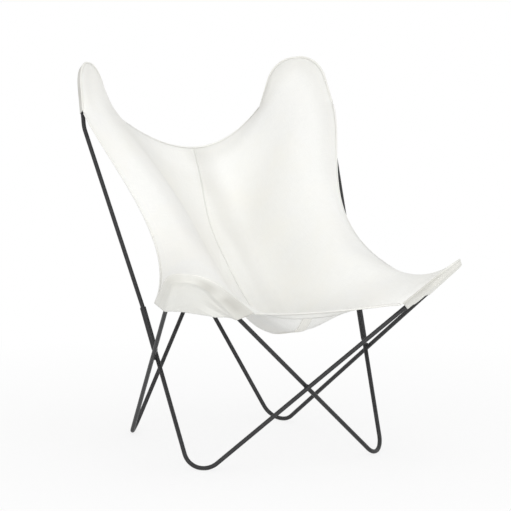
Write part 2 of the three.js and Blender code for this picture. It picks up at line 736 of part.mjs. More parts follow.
// Triangles of a block of grid cells.
function gridTriangles(fromColumn, toColumn) {
  const triangles = [];
  for (let j = 0; j < PANEL_ROWS; j += 1) {
    for (let i = fromColumn; i < toColumn; i += 1) {
      const a = gridIndex(i, j);
      const b = gridIndex(i + 1, j);
      const c = gridIndex(i + 1, j + 1);
      const d = gridIndex(i, j + 1);
      triangles.push(...(isFalling(i, j) ? [[a, c, b], [a, d, c]] : [[a, d, b], [b, d, c]]));
    }
  }
  return triangles;
}

const gridPoints = slingGrid();
const allTriangles = gridTriangles(0, GRID_COLUMNS);
const plainNormals = pointNormals(gridPoints, allTriangles);
gridPoints.forEach((point, k) => {
  const across = (k % (GRID_COLUMNS + 1)) / GRID_COLUMNS;
  const down = Math.floor(k / (GRID_COLUMNS + 1)) / PANEL_ROWS;
  const still = 4 * Math.sqrt(across * (1 - across) * down * (1 - down));
  point.addScaledVector(plainNormals[k], foldRise(across, down) * still);
});
const gridNormals = pointNormals(gridPoints, allTriangles);

const isOnSeam = (k) => k % (GRID_COLUMNS + 1) === PANEL_COLUMNS;

// One half of the sling, cut along the centre seam.
function panelSolid(side) {
  const fromColumn = side < 0 ? 0 : PANEL_COLUMNS;
  const triangles = gridTriangles(fromColumn, fromColumn + PANEL_COLUMNS);
  const used = [...new Set(triangles.flat())].sort((a, b) => a - b);
  const rank = new Map(used.map((k, n) => [k, n]));
  const points = used.map((k) => {
    const point = gridPoints[k].clone();
    if (isOnSeam(k)) {
      point.x += side * SEAM_CLEARANCE / 2;
    }
    return point;
  });
  const normals = used.map((k) => {
    const normal = gridNormals[k].clone();
    if (isOnSeam(k)) {
      normal.setX(0).normalize();
    }
    return normal;
  });
  const local = triangles.map((triangle) => triangle.map((k) => rank.get(k)));
  return sheetSolid(points, normals, local, SHEET_THICKNESS);
}

// Place and normal on the flat facets of the sling, between its grid points.
function facetPlace(column, row) {
  const i = Math.min(Math.floor(column), GRID_COLUMNS - 1);
  const j = Math.min(Math.floor(row), PANEL_ROWS - 1);
  const s = column - i;
  const t = row - j;
  const a = gridIndex(i, j);
  const b = gridIndex(i + 1, j);
  const c = gridIndex(i + 1, j + 1);
  const d = gridIndex(i, j + 1);
  let parts = [];
  if (isFalling(i, j)) {
    parts = s > t ? [[a, 1 - s], [b, s - t], [c, t]] : [[a, 1 - t], [c, s], [d, t - s]];
  } else {
    parts = s + t < 1 ? [[a, 1 - s - t], [b, s], [d, t]] : [[b, 1 - t], [c, s + t - 1], [d, 1 - s]];
  }
  const add = (values) => (sum, [k, share]) => sum.addScaledVector(values[k], share);
  const mix = (values) => parts.reduce(add(values), vec(0, 0, 0));
  return { point: mix(gridPoints), normal: mix(gridNormals).normalize() };
}

// Whether a line between two grid places runs the way of the sheet's diagonals there.
function runsWithDiagonal([fromColumn, fromRow], [toColumn, toRow]) {
  const i = Math.floor((fromColumn + toColumn) / 2);
  const j = Math.floor((fromRow + toRow) / 2);
  return isFalling(i, j) === ((toColumn - fromColumn) * (toRow - fromRow) > 0);
}

// A strip under the sheet, from rows of [column, row] places.
function stripSolid(rows) {
  const depth = SHEET_THICKNESS / 2 + HEM_CLEARANCE + HEM_THICKNESS / 2;
  const points = [];
  const normals = [];
  for (const row of rows) {
    for (const [column, line] of row) {
      const place = facetPlace(column, line);
      points.push(along(place.point, place.normal, -depth));
      normals.push(place.normal);
    }
  }
  const width = rows[0].length;
  const triangles = [];
  for (let j = 0; j < rows.length - 1; j += 1) {
    for (let i = 0; i < width - 1; i += 1) {
      const a = j * width + i;
      const isSame = runsWithDiagonal(rows[j][i], rows[j + 1][i + 1]);
      const [b, c, d] = [a + 1, a + width + 1, a + width];
      triangles.push(...(isSame ? [[a, c, b], [a, d, c]] : [[a, d, b], [b, d, c]]));
    }
  }
  const middle = triangles[Math.floor(triangles.length / 2)];
  const faceUp = triangleNormal(points, middle).dot(normals[middle[0]]) > 0;
  const facing = faceUp ? triangles : triangles.map(([a, b, c]) => [a, c, b]);
  return sheetSolid(points, normals, facing, HEM_THICKNESS);
}

// Columns or rows that one millimetre takes at a place, counted inwards.
const stepAcross = (column, row, inward) => {
  const here = facetPlace(column, row).point;
  const next = facetPlace(column + inward, row).point;
  return inward / here.distanceTo(next);
};
const stepDown = (column, row, inward) => {
  const here = facetPlace(column, row).point;
  const next = facetPlace(column, row + inward).point;
  return inward / here.distanceTo(next);
};

const CROSS_TOTAL = 2 * LOBE_INTERVALS + CROSS_EDGE_INTERVALS;
const SIDE_TOTAL = 2 * LOBE_INTERVALS + SIDE_EDGE_INTERVALS;
const lobeColumns = GRID_COLUMNS * LOBE_INTERVALS / CROSS_TOTAL;
const lobeRows = PANEL_ROWS * LOBE_INTERVALS / SIDE_TOTAL;

// Whole and half grid lines between two places.
function linesBetween(from, to) {
  const lines = [];
  for (let k = Math.ceil(2 * from); k <= Math.floor(2 * to); k += 1) {
    lines.push(k / 2);
  }
  return lines;
}

function crossHem(front) {
  const edge = front ? PANEL_ROWS : 0;
  const inward = front ? -1 : 1;
  const start = lobeColumns + HEM_END_CELL_SHARE;
  const columns = linesBetween(start, GRID_COLUMNS - start);
  return stripSolid(columns.map((column) => {
    const step = stepDown(column, edge, inward);
    return [[column, edge], [column, edge + step * HEM_WIDTH / 2], [column, edge + step * HEM_WIDTH]];
  }));
}

function sideHem(side) {
  const edge = side < 0 ? 0 : GRID_COLUMNS;
  const start = lobeRows + HEM_END_CELL_SHARE;
  const rows = linesBetween(start, PANEL_ROWS - lobeRows - SIDE_HEM_FRONT_CELL_SHARE);
  return stripSolid(rows.map((row) => {
    const step = stepAcross(edge, row, -side);
    return [[edge, row], [edge + step * HEM_WIDTH, row]];
  }));
}

function seamTape() {
  const middle = PANEL_COLUMNS;
  const back = stepDown(middle, 0, 1) * (HEM_WIDTH + HEM_THICKNESS);
  const front = PANEL_ROWS + stepDown(middle, PANEL_ROWS, -1) * (HEM_WIDTH + HEM_THICKNESS);
  const rows = [back, ...linesBetween(back + TAPE_END_CELL_SHARE, front - TAPE_END_CELL_SHARE), front];
  return stripSolid(rows.map((row) => {
    const left = stepAcross(middle, row, -1) * TAPE_WIDTH / 2;
    const right = stepAcross(middle, row, 1) * TAPE_WIDTH / 2;
    return [[middle + left, row], [middle, row], [middle + right, row]];
  }));
}

// Back layer of a corner: wraps the rod's outside and closes behind it, open at the mouth.
function pocketSolid(tip) {
  const behind = ROD_RADIUS + 2 * SHEET_CLEARANCE + POCKET_SHEET_THICKNESS / 2;
  const arcShare = tip.bendRadius * tip.turn / tip.length;
  const shares = [];
  for (let k = 0; k <= ARC_STEPS; k += 1) {
    shares.push(arcShare * k / ARC_STEPS);
  }
  for (let k = 1; k <= STRAIGHT_STEPS; k += 1) {
    shares.push(arcShare + (1 - arcShare) * k / STRAIGHT_STEPS);
  }
  const ordered = [...shares.slice(1).reverse().map((s) => [-1, s]), ...shares.map((s) => [1, s])];
  const rows = ordered.map(([side, share]) => {
    const station = lobeStation(tip, side, share);
    const top = station.rise - SHEET_THICKNESS / 2 - SHEET_CLEARANCE - POCKET_SHEET_THICKNESS / 2;
    const edge = station.overhang - POCKET_SHEET_THICKNESS / 2;
    const place = (out, up) => along(station.rod, station.outward, out).addScaledVector(tip.normal, up);
    const tangent = Math.atan2(top, edge) - Math.acos(behind / Math.hypot(edge, top));
    const wrapped = (turn) => [behind * Math.cos(turn), behind * Math.sin(turn)];
    const [tangentOut, tangentUp] = wrapped(tangent);
    const row = [place(edge, top), place((edge + tangentOut) / 2, (top + tangentUp) / 2)];
    for (let k = 0; k <= WRAP_STEPS; k += 1) {
      row.push(place(...wrapped(THREE.MathUtils.lerp(tangent, -Math.PI / 2, k / WRAP_STEPS))));
    }
    const depth = THREE.MathUtils.lerp(tip.bendRadius, tip.outline.depth, station.beyond);
    const middle = along(tip.apex, tip.axis, -depth).addScaledVector(tip.normal, -behind);
    const last = row[row.length - 1];
    for (let k = 1; k <= FLAT_STEPS; k += 1) {
      row.push(last.clone().lerp(middle, k / FLAT_STEPS));
    }
    return row;
  });
  return mergedSheet(rows, POCKET_SHEET_THICKNESS, tip.normal.clone().negate());
}

// A grid of points whose coinciding points are joined, thickened to a closed sheet.
function mergedSheet(rows, thickness, facing) {
  const points = [];
  const lookup = new Map();
  const ids = rows.map((row) => row.map((point) => {
    const key = point.toArray().map((value) => Math.round(value / MERGE_DISTANCE)).join('_');
    if (!lookup.has(key)) {
      lookup.set(key, points.length);
      points.push(point);
    }
    return lookup.get(key);
  }));
  const triangles = [];
  for (let j = 0; j < ids.length - 1; j += 1) {
    for (let i = 0; i < ids[j].length - 1; i += 1) {
      const a = ids[j][i];
      const b = ids[j][i + 1];
      const c = ids[j + 1][i + 1];
      const d = ids[j + 1][i];
      const cell = [[a, b, c], [a, c, d]];
      triangles.push(...cell.filter((triangle) => new Set(triangle).size === triangle.length));
    }
  }
  const total = vec(0, 0, 0);
  triangles.forEach((triangle) => total.add(triangleNormal(points, triangle)));
  const outward = total.dot(facing) > 0 ? triangles : triangles.map(([a, b, c]) => [a, c, b]);
  return sheetSolid(points, pointNormals(points, outward), outward, thickness);
}

const group = new THREE.Group();
group.name = 'butterfly_sling_chair';
const frameGroup = new THREE.Group();
frameGroup.name = 'frame';
const slingGroup = new THREE.Group();
slingGroup.name = 'sling';
group.add(frameGroup, slingGroup);

function addPiece(parent, name, geometry, look) {
  const closed = bareGeometry(geometry);
  closed.computeVertexNormals();
  const mesh = new THREE.Mesh(closed, new THREE.MeshStandardMaterial(look));
  mesh.name = name;
  mesh.material.name = `${name}_finish`;
  parent.add(mesh);
  return mesh;
}

const SIDES = ['left', 'right'];
SIDES.forEach((name, i) => {
  const outerSleeve = sleeves[name];
  const innerSleeve = sleeves[`rear_${name}`];
  const hoop = rodSolid(hoopStations(hoopFrames[i], innerSleeve, outerSleeve));
  addPiece(frameGroup, `base_rod_${name}`, baseRod(loops[i], outerSleeve, innerSleeve), STEEL);
  addPiece(frameGroup, `back_hoop_${name}`, hoop, STEEL);
});
for (const [name, seat] of Object.entries(sleeves)) {
  const mesh = addPiece(frameGroup, `sleeve_${name}`, sleeveSolid(seat), STEEL);
  mesh.position.copy(seat.bottom);
  mesh.quaternion.setFromUnitVectors(UP, seat.direction);
}
for (const [name, crossing] of Object.entries(crossings)) {
  addPiece(frameGroup, `weld_${name}`, weldSolid(crossing), WELD_METAL);
}
addPiece(slingGroup, 'sling_panel_left', panelSolid(-1), CANVAS);
addPiece(slingGroup, 'sling_panel_right', panelSolid(1), CANVAS);
addPiece(slingGroup, 'sling_seam_tape', seamTape(), TAPE);
addPiece(slingGroup, 'hem_back', crossHem(false), TAPE);
addPiece(slingGroup, 'hem_front', crossHem(true), TAPE);
addPiece(slingGroup, 'hem_left', sideHem(-1), TAPE);
addPiece(slingGroup, 'hem_right', sideHem(1), TAPE);
addPiece(slingGroup, 'pocket_back_left', pocketSolid(backLeft), CANVAS_BACK);
addPiece(slingGroup, 'pocket_back_right', pocketSolid(backRight), CANVAS_BACK);
addPiece(slingGroup, 'pocket_front_left', pocketSolid(frontLeft), CANVAS_BACK);
addPiece(slingGroup, 'pocket_front_right', pocketSolid(frontRight), CANVAS_BACK);

// The origin is under the middle of the chair's bounding box, at the floor.
const bounds = new THREE.Box3().setFromObject(group, true);
const boundsMiddle = bounds.getCenter(vec(0, 0, 0));
group.position.set(-boundsMiddle.x, -boundsMiddle.y, -bounds.min.z);

export default group;
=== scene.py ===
"""Looks of a butterfly sling chair: a canvas sling on a frame of bent rods.

Shapes are worked out in millimetres in the frame that the rods are laid out in, then moved by OFFSET
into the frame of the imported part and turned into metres. Left is -X and the front of the seat faces -Y.
"""

import json
import math

import bpy
import numpy as np
from mathutils import Matrix

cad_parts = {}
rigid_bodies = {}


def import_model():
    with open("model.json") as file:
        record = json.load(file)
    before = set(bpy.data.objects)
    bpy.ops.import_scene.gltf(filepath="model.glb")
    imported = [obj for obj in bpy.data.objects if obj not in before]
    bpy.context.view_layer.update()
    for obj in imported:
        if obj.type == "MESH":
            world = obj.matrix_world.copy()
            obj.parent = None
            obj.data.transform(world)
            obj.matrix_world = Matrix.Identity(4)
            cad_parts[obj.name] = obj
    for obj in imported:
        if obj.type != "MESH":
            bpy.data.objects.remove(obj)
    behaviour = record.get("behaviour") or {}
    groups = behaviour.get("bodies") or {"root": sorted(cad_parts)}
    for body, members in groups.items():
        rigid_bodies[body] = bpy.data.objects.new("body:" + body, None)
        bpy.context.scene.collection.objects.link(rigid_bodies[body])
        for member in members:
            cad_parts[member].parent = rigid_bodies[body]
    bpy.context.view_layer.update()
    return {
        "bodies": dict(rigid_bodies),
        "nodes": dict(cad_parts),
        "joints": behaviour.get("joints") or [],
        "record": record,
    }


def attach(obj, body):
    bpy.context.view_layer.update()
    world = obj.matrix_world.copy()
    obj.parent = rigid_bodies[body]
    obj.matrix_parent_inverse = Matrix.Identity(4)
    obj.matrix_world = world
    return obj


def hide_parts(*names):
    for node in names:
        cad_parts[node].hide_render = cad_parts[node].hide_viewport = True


METRES = 0.001
# From the rods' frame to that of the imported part, whose origin lies under the middle of its box.
OFFSET = np.array([-1.3068, 48.3403, 0.0])

# Rods of the base, in millimetres. Places are those of the sharp corners, before the bends are made, and a
# leg is given by a point that it runs through.
ROD_RADIUS = 5.0
ROD_SIDES = 32
BEND_STEPS = 40
CROSSING_PITCH = 10.3
FRONT_FOOT = (246.0, -242.0)
REAR_FOOT = (195.0, 242.0)
FRONT_CORNER = (371.0, -461.0, 514.0)
BEND_RADIUS = 48.0
FOOT_FLAT_DEPTH = 0.4
FRONT_LEG = (286.4, 14.0, 430.0)
REAR_LEG = (48.6, 303.6, 430.0)
SOLVER_ROUNDS = 14

# Sleeves and hoops. A hoop's top is folded forward by an arc below its bend.
SLEEVE_ABOVE_CROSSING = 14.0
SLEEVE_LENGTH = 108.0
LEG_IN_SLEEVE = 40.0
HOOP_IN_SLEEVE = 64.0
HOOP_CORNER = (357.6, 390.2, 1025.4)
HOOP_BEND_RADIUS = 65.5
HOOP_FOLD_BELOW_TOP = 155.0
HOOP_FOLD_ANGLE = math.radians(13.75)
HOOP_FOLD_RADIUS = 84.0
FOLD_STEPS = 10

# Sling outline, as in the solids. Side -1 of a lobe runs into the back or front edge, side 1 into the side
# edge. A lobe has the depth of its pocket, how far the cloth stands out beyond the rod at its tip and at
# each side of its mouth, how much it rises there, and the power with which both grow from the tip.
TIP_RISE = 6.3
EVEN_RISE = {-1: 1.0, 1: 1.0}
BACK_LOBE = {"depth": 112.0, "tip": 3.0, "mouth": {-1: 6.0, 1: 15.3}, "rise": {-1: 1.0, 1: 2.2}, "power": 0.67}
FRONT_LEFT_LOBE = {"depth": 130.0, "tip": 8.0, "mouth": {-1: 35.0, 1: 23.0}, "rise": EVEN_RISE, "power": 0.82}
FRONT_RIGHT_LOBE = {"depth": 130.0, "tip": 2.2, "mouth": {-1: 29.0, 1: 17.0}, "rise": EVEN_RISE, "power": 1.15}
# How far the deepest point of an edge lies off the straight line between its lobes, and how far it is
# shifted towards the front.
SIDE_HANG = (84.3, 53.7, -27.7)
SIDE_SKEW = 1.45
BACK_HANG = (0.0, -43.9, -92.1)
FRONT_HANG = (0.0, 90.0, -23.2)
# The seat's lowest point as (height, y), and the cloth's middle line from the back to it and from it to
# the front, as shares of the way and of the height.
SEAT_LOW = (290.0, -150.0)
BACKREST_RUN_SHARES = (0, 0.085, 0.2, 0.428, 0.771, 1)
BACKREST_HEIGHT_SHARES = (1, 0.808, 0.577, 0.333, 0.069, 0)
SEAT_RUN_SHARES = (0.5, 0.74, 1)
SEAT_HEIGHT_SHARES = (0.105, 0.26, 1)
CENTRE_STEPS = 400
CENTRE_LENGTH = 844.0
BELLY_POWER = 5.0
# Intervals between an edge's points: along one side of a lobe, and in all across and down the sling.
LOBE_INTERVALS = 6
CROSS_INTERVALS = 28
SIDE_INTERVALS = 40

# Fine grid of the sling, thicknesses of cloth, and the margin over which small forms fade to the edge.
COLUMNS = 140
ROWS = 150
CLOTH = 1.4
HEM_CLOTH = 0.9
SEAM_CLEARANCE = 0.06
EDGE_STILL = 14.0
# A hem: distances from the edge under the cloth, the circle round the edge and the end on top of it.
HEM_RUN = (20.0, 15.0, 10.0, 6.0, 3.0, 1.2)
HEM_CLEARANCE = 0.15
EDGE_ROLL = 1.7
ROLL_INSET = 0.5
ROLL_ANGLES = (-90, -60, -30, 0, 30, 60, 90)
TOP_END = 2.6
TOP_SINK = 0.1
ROLL_RUN, TOP_RUN = 4.0, 6.5
TAPE_WIDTH = 24.0
TAPE_POINTS = 9
TAPE_CLEARANCE = 0.1
TAPE_ENDS = 3
BESIDE_SEAM = 14.0

# Forms of the hanging cloth: heights and depths in millimetres, and the start and the reach of the corner
# folds as shares of the cloth.
FOLD_HEIGHT = 6.0
FOLD_START, FOLD_REACH = 0.125, 0.5
CREASE_HEIGHT = 3.4
LEFT_RIDGE_HEIGHT = 4.5
HOLLOW_DEPTH = 7.0
LOBE_SINK = 2.0
ROD_PRINT = 1.7
PUCKER_HEIGHT = 0.34
WAVE_HEIGHT = 0.7
WRINKLE_DEPTH = 1.5
WRINKLE_LIP = 0.9


def unit(v):
    """The vector, or each vector of an array, at length 1."""
    v = np.asarray(v, float)
    return v / np.maximum(np.linalg.norm(v, axis=-1, keepdims=True), 1e-12)


def turned(from_, towards, angle):
    """A unit vector turned by an angle towards another that is square to it."""
    return np.cos(angle) * np.asarray(from_) + np.sin(angle) * np.asarray(towards)


def line_gap(a, b, c, d, facing):
    """Signed distance between two straight lines, measured on the side of facing."""
    normal = unit(np.cross(b - a, d - c))
    return float((c - a) @ normal * np.sign(normal @ facing))


def line_crossing(a, b, c, d):
    """Point of the line a-b that is nearest to the line c-d."""
    u, v, w = unit(b - a), unit(d - c), a - c
    k = u @ v
    return a + u * (k * (v @ w) - u @ w) / (1 - k * k)


def foot_height(foot, one, two):
    """Height of a sharp foot corner at which the bent foot stands on the floor."""
    first, second = unit(one - foot), unit(two - foot)
    half = math.acos(np.clip(first @ second, -1, 1)) / 2
    plane = unit(np.cross(first, second))
    fall = BEND_RADIUS * math.sqrt(1 - plane[2] ** 2)
    return ROD_RADIUS - FOOT_FLAT_DEPTH + fall - unit(first + second)[2] * BEND_RADIUS / math.sin(half)


def loop_points(side, leg_lean, corner_lean, front, rear):
    """Corner points of one base loop; side is -1 for the loop of the left hoop."""
    front, rear = side * front, side * rear
    corner_x, corner_y, corner_z = FRONT_CORNER
    return {
        "front_foot": np.array([side * FRONT_FOOT[0], FRONT_FOOT[1] + front, 0.0]),
        "front_corner": np.array([-side * (corner_x - corner_lean), corner_y + front, corner_z]),
        "rear_foot": np.array([-side * REAR_FOOT[0], REAR_FOOT[1] + rear, 0.0]),
        "front_leg": np.array([side * (FRONT_LEG[0] + leg_lean), FRONT_LEG[1] + front, FRONT_LEG[2]]),
        "rear_leg": np.array([side * REAR_LEG[0], REAR_LEG[1] + rear, REAR_LEG[2]]),
        "hoop_corner": np.array([side * HOOP_CORNER[0], HOOP_CORNER[1] + rear, HOOP_CORNER[2]]),
    }


def solve_loops():
    """Both loops with each pair of crossing rods one rod and one clearance apart."""
    legs, corners = [0.0, 0.0], [0.0, 0.0]
    front = rear = CROSSING_PITCH / 2
    for _ in range(SOLVER_ROUNDS):
        pair = [
            loop_points(-1, legs[0], corners[1], front, rear),
            loop_points(1, legs[1], corners[0], front, rear),
        ]
        for _ in range(SOLVER_ROUNDS):
            for p in pair:
                p["front_foot"][2] = foot_height(p["front_foot"], p["front_leg"], p["front_corner"])
                p["rear_foot"][2] = foot_height(p["rear_foot"], p["rear_leg"], p["front_corner"])
        left, right = pair
        backward = np.array([0.0, 1.0, 0.0])
        ends = ("front_foot", "front_corner"), ("rear_foot", "rear_leg")
        gaps = [line_gap(left[a], left[b], right[a], right[b], backward) for a, b in ends]
        front += (CROSSING_PITCH - gaps[0]) / 2
        rear += (CROSSING_PITCH - gaps[1]) / 2
        for i, p in enumerate(pair):
            q = pair[1 - i]
            lines = p["front_foot"], p["front_leg"], q["rear_foot"], q["front_corner"]
            outward = np.array([np.sign(p["front_leg"][0]), 0.0, 0.0])
            lack = CROSSING_PITCH - line_gap(*lines, outward)
            height = line_crossing(*lines)[2]
            foot, rear_foot = p["front_foot"][2], q["rear_foot"][2]
            legs[i] -= lack * (FRONT_LEG[2] - foot) / (height - foot) / 2
            corners[i] -= lack * (FRONT_CORNER[2] - rear_foot) / (height - rear_foot) / 2
    return pair


def corner_frame(corner, inner, outer, radius, facing):
    """Axis out of a bent corner, direction across it, its face normal and the top of its bend."""
    first, second = unit(inner - corner), unit(outer - corner)
    axis = -unit(first + second)
    across = unit(second - first)
    half = math.acos(np.clip(first @ second, -1, 1)) / 2
    normal = unit(np.cross(across, axis))
    normal = normal * np.sign(normal @ facing)
    apex = corner + axis * (radius - radius / math.sin(half))
    return {"apex": apex, "axis": axis, "across": across, "normal": normal, "half": half, "radius": radius}


def folded_place(frame, across, along):
    """Place of a point of the flat hoop once its top is folded forward about a level line: straight up to
    that line, along an arc of the fold's radius through its angle, and straight on."""
    height = along + HOOP_FOLD_BELOW_TOP
    turn = np.clip(height / HOOP_FOLD_RADIUS, 0, HOOP_FOLD_ANGLE)
    rest = max(height - HOOP_FOLD_RADIUS * HOOP_FOLD_ANGLE, 0)
    rise = min(height, 0) + HOOP_FOLD_RADIUS * math.sin(turn) + rest * math.cos(HOOP_FOLD_ANGLE)
    out = HOOP_FOLD_RADIUS * (1 - math.cos(turn)) + rest * math.sin(HOOP_FOLD_ANGLE)
    place = frame["apex"] + frame["axis"] * (rise - HOOP_FOLD_BELOW_TOP)
    return place + frame["across"] * across + frame["normal"] * out


def folded_frame(frame):
    """Frame of the folded top of a hoop."""
    axis = turned(frame["axis"], frame["normal"], HOOP_FOLD_ANGLE)
    normal = turned(frame["normal"], frame["axis"], -HOOP_FOLD_ANGLE)
    return {**frame, "apex": folded_place(frame, 0, 0), "axis": axis, "normal": normal}


# A direction that no rod runs along, from which a first side is taken.
ANY_WAY = (0.3, 0.5, 0.81)


def bent_line(corners, radii):
    """Points of a polyline whose inner corners are bent to arcs of the given radii."""
    line = [corners[0]]
    for i in range(1, len(corners) - 1):
        into, out_of = unit(corners[i] - corners[i - 1]), unit(corners[i + 1] - corners[i])
        turn = math.acos(np.clip(into @ out_of, -1, 1))
        inward, across = unit(out_of - into), unit(out_of + into)
        centre = corners[i] + inward * radii[i - 1] / math.cos(turn / 2)
        for step in range(BEND_STEPS + 1):
            angle = turn * (step / BEND_STEPS - 0.5)
            line.append(centre + radii[i - 1] * turned(-inward, across, angle))
    line.append(corners[-1])
    return np.array(line)


def hoop_line(frame, inner, outer):
    """Centre line of a hoop: out of the outer sleeve, up, round the folded top and down to the inner one."""
    half, radius = frame["half"], frame["radius"]
    depth = radius / math.sin(half) - radius
    fold = HOOP_FOLD_RADIUS * HOOP_FOLD_ANGLE
    drops = [HOOP_FOLD_BELOW_TOP - fold * k / FOLD_STEPS for k in range(FOLD_STEPS + 1)]

    def leg(side):
        """Points of one leg through the fold, from below it to above it."""
        return [folded_place(frame, side * (d + depth) * math.tan(half), -d) for d in drops]

    turn = math.pi / 2 - half
    arc = []
    for step in range(2 * BEND_STEPS + 1):
        angle = turn * (1 - step / BEND_STEPS)
        arc.append(folded_place(frame, radius * math.sin(angle), -radius * (1 - math.cos(angle))))
    start = [outer["mouth"] - outer["direction"] * HOOP_IN_SLEEVE, outer["mouth"]]
    end = [inner["mouth"], inner["mouth"] - inner["direction"] * HOOP_IN_SLEEVE]
    return np.array(start + leg(1) + arc + leg(-1)[::-1] + end)


def make_object(name, points, faces, uv=None):
    """A smooth object from points in millimetres and faces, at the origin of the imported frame."""
    mesh = bpy.data.meshes.new(name)
    mesh.from_pydata(((np.asarray(points) + OFFSET) * METRES).tolist(), [], [list(map(int, f)) for f in faces])
    mesh.update()
    mesh.polygons.foreach_set("use_smooth", [True] * len(mesh.polygons))
    if uv is not None:
        layer = mesh.uv_layers.new(name="cloth_mm")
        corner = np.zeros(len(mesh.loops), int)
        mesh.loops.foreach_get("vertex_index", corner)
        layer.data.foreach_set("uv", np.asarray(uv, np.float32)[corner].ravel())
    mesh.validate()
    obj = bpy.data.objects.new(name, mesh)
    bpy.context.scene.collection.objects.link(obj)
    return obj


def sweep(line, sides):
    """Points and faces of a rod with closed ends: a ring of so many sides is carried along the line.

    Each ring lies square to the line, and its first side is the last ring's with its part along the line
    taken away, so the rod doesn't twist."""
    line = np.asarray(line, float)
    steps = np.diff(line, axis=0)
    tangents = unit(np.vstack([steps[:1], unit(steps[:-1]) + unit(steps[1:]), steps[-1:]]))
    side = unit(np.cross(tangents[0], ANY_WAY))
    angles = np.arange(sides) * 2 * math.pi / sides
    rings = []
    for point, tangent in zip(line, tangents):
        side = unit(side - tangent * (side @ tangent))
        other = np.cross(tangent, side)
        rings.append(point + ROD_RADIUS * (np.cos(angles)[:, None] * side + np.sin(angles)[:, None] * other))
    points = np.concatenate(rings)
    first, last = np.arange(sides)[::-1], np.arange(sides) + (len(line) - 1) * sides
    return points, [*grid_faces(len(line), sides, wrap=True), first, last]


def grid_faces(rows, columns, wrap=False, flip=False):
    """Quads of a grid of points stored row by row, closed round each row if it wraps."""
    j, i = np.meshgrid(np.arange(rows - 1), np.arange(columns if wrap else columns - 1), indexing="ij")
    k = (i + 1) % columns
    quads = np.stack([j * columns + i, j * columns + k, (j + 1) * columns + k, (j + 1) * columns + i], axis=-1)
    quads = quads.reshape(-1, 4)
    return quads[:, ::-1] if flip else quads


def lathe(profile, sides, base, direction):
    """Points and faces of a closed profile of (radius, height) turned about a line from base."""
    direction = unit(direction)
    side = unit(np.cross(direction, ANY_WAY))
    other = np.cross(direction, side)
    profile = np.asarray(profile, float)
    angles = np.arange(sides) * 2 * math.pi / sides
    ring = np.cos(angles)[:, None] * side + np.sin(angles)[:, None] * other
    points = base + profile[:, None, :1] * ring[None] + profile[:, None, 1:] * direction
    return points.reshape(-1, 3), grid_faces(len(profile), sides, wrap=True)


# Curves and grids of the sling.
def catmull(points, t):
    """Centripetal Catmull-Rom curve through the points; t from 0 to 1 counts the intervals evenly.

    Knots are the square root of each chord apart, and each interval is the cubic with the slopes that they
    give at its ends."""

    def root(p, q):
        """Square root of the distance between two points."""
        return np.sqrt(np.linalg.norm(q - p, axis=1, keepdims=True))

    points = np.asarray(points, float)
    last = len(points) - 1
    place = np.clip(np.atleast_1d(t), 0, 1) * last
    i = np.minimum(np.floor(place).astype(int), last - 1)
    w = (place - i)[:, None]
    padded = np.vstack([2 * points[0] - points[1], points, 2 * points[-1] - points[-2]])
    a, b, c, d = (padded[i + k] for k in range(4))
    d0, d1, d2 = root(a, b), root(b, c), root(c, d)
    t1 = ((b - a) / d0 - (c - a) / (d0 + d1) + (c - b) / d1) * d1
    t2 = ((c - b) / d1 - (d - b) / (d1 + d2) + (d - c) / d2) * d1
    return b + t1 * w + (-3 * b + 3 * c - 2 * t1 - t2) * w**2 + (2 * b - 2 * c + t1 + t2) * w**3


def lobe(frame, outline):
    """A corner of the sling over the bend of a rod, with what its outline needs."""
    turn = math.pi / 2 - frame["half"]
    arc_depth = frame["radius"] * (1 - math.sin(frame["half"]))
    straight = (outline["depth"] - arc_depth) / math.cos(frame["half"])
    return {
        **frame,
        "turn": turn,
        "straight": straight,
        "length": frame["radius"] * turn + straight,
        "centre": frame["apex"] - frame["axis"] * frame["radius"],
        "outline": outline,
    }


def lobe_station(tip, side, share):
    """Rod axis, outward direction, overhang and rise at a share of the way from the tip to the mouth."""
    run = share * tip["length"]
    arc = tip["radius"] * tip["turn"]
    angle = min(run, arc) / tip["radius"]
    sideways = tip["across"] * side
    outward = turned(tip["axis"], sideways, angle)
    beyond = max(run - arc, 0)
    rod = tip["centre"] + outward * tip["radius"] + turned(-tip["axis"], sideways, tip["half"]) * beyond
    outline = tip["outline"]
    grow = share ** outline["power"]
    return {
        "rod": rod,
        "outward": outward,
        "beyond": beyond / tip["straight"],
        "overhang": ROD_RADIUS + outline["tip"] + (outline["mouth"][side] - outline["tip"]) * grow,
        "rise": TIP_RISE + outline["rise"][side] * grow,
    }


def outline_point(tip, side, share):
    """Point of the cloth's edge: out from the rod's axis by the overhang, up by the rise."""
    s = lobe_station(tip, side, share)
    return s["rod"] + s["outward"] * s["overhang"] + tip["normal"] * s["rise"]


def edge_curve(start, start_side, end, end_side, hang, intervals, skew=1.0):
    """Control points of an edge: down one lobe, along the hanging stretch, up the next lobe.

    A skew above 1 moves the deepest point of the hanging stretch towards its end."""
    shares = np.arange(LOBE_INTERVALS + 1) / LOBE_INTERVALS
    head = [outline_point(start, start_side, s) for s in shares]
    tail = [outline_point(end, end_side, s) for s in shares[::-1]]
    free = intervals - 2 * LOBE_INTERVALS
    middle = []
    for i in range(1, free):
        t = i / free
        w = t ** skew
        middle.append(head[-1] * (1 - t) + tail[0] * t + np.array(hang) * 4 * w * (1 - w))
    return np.array(head + middle + tail)


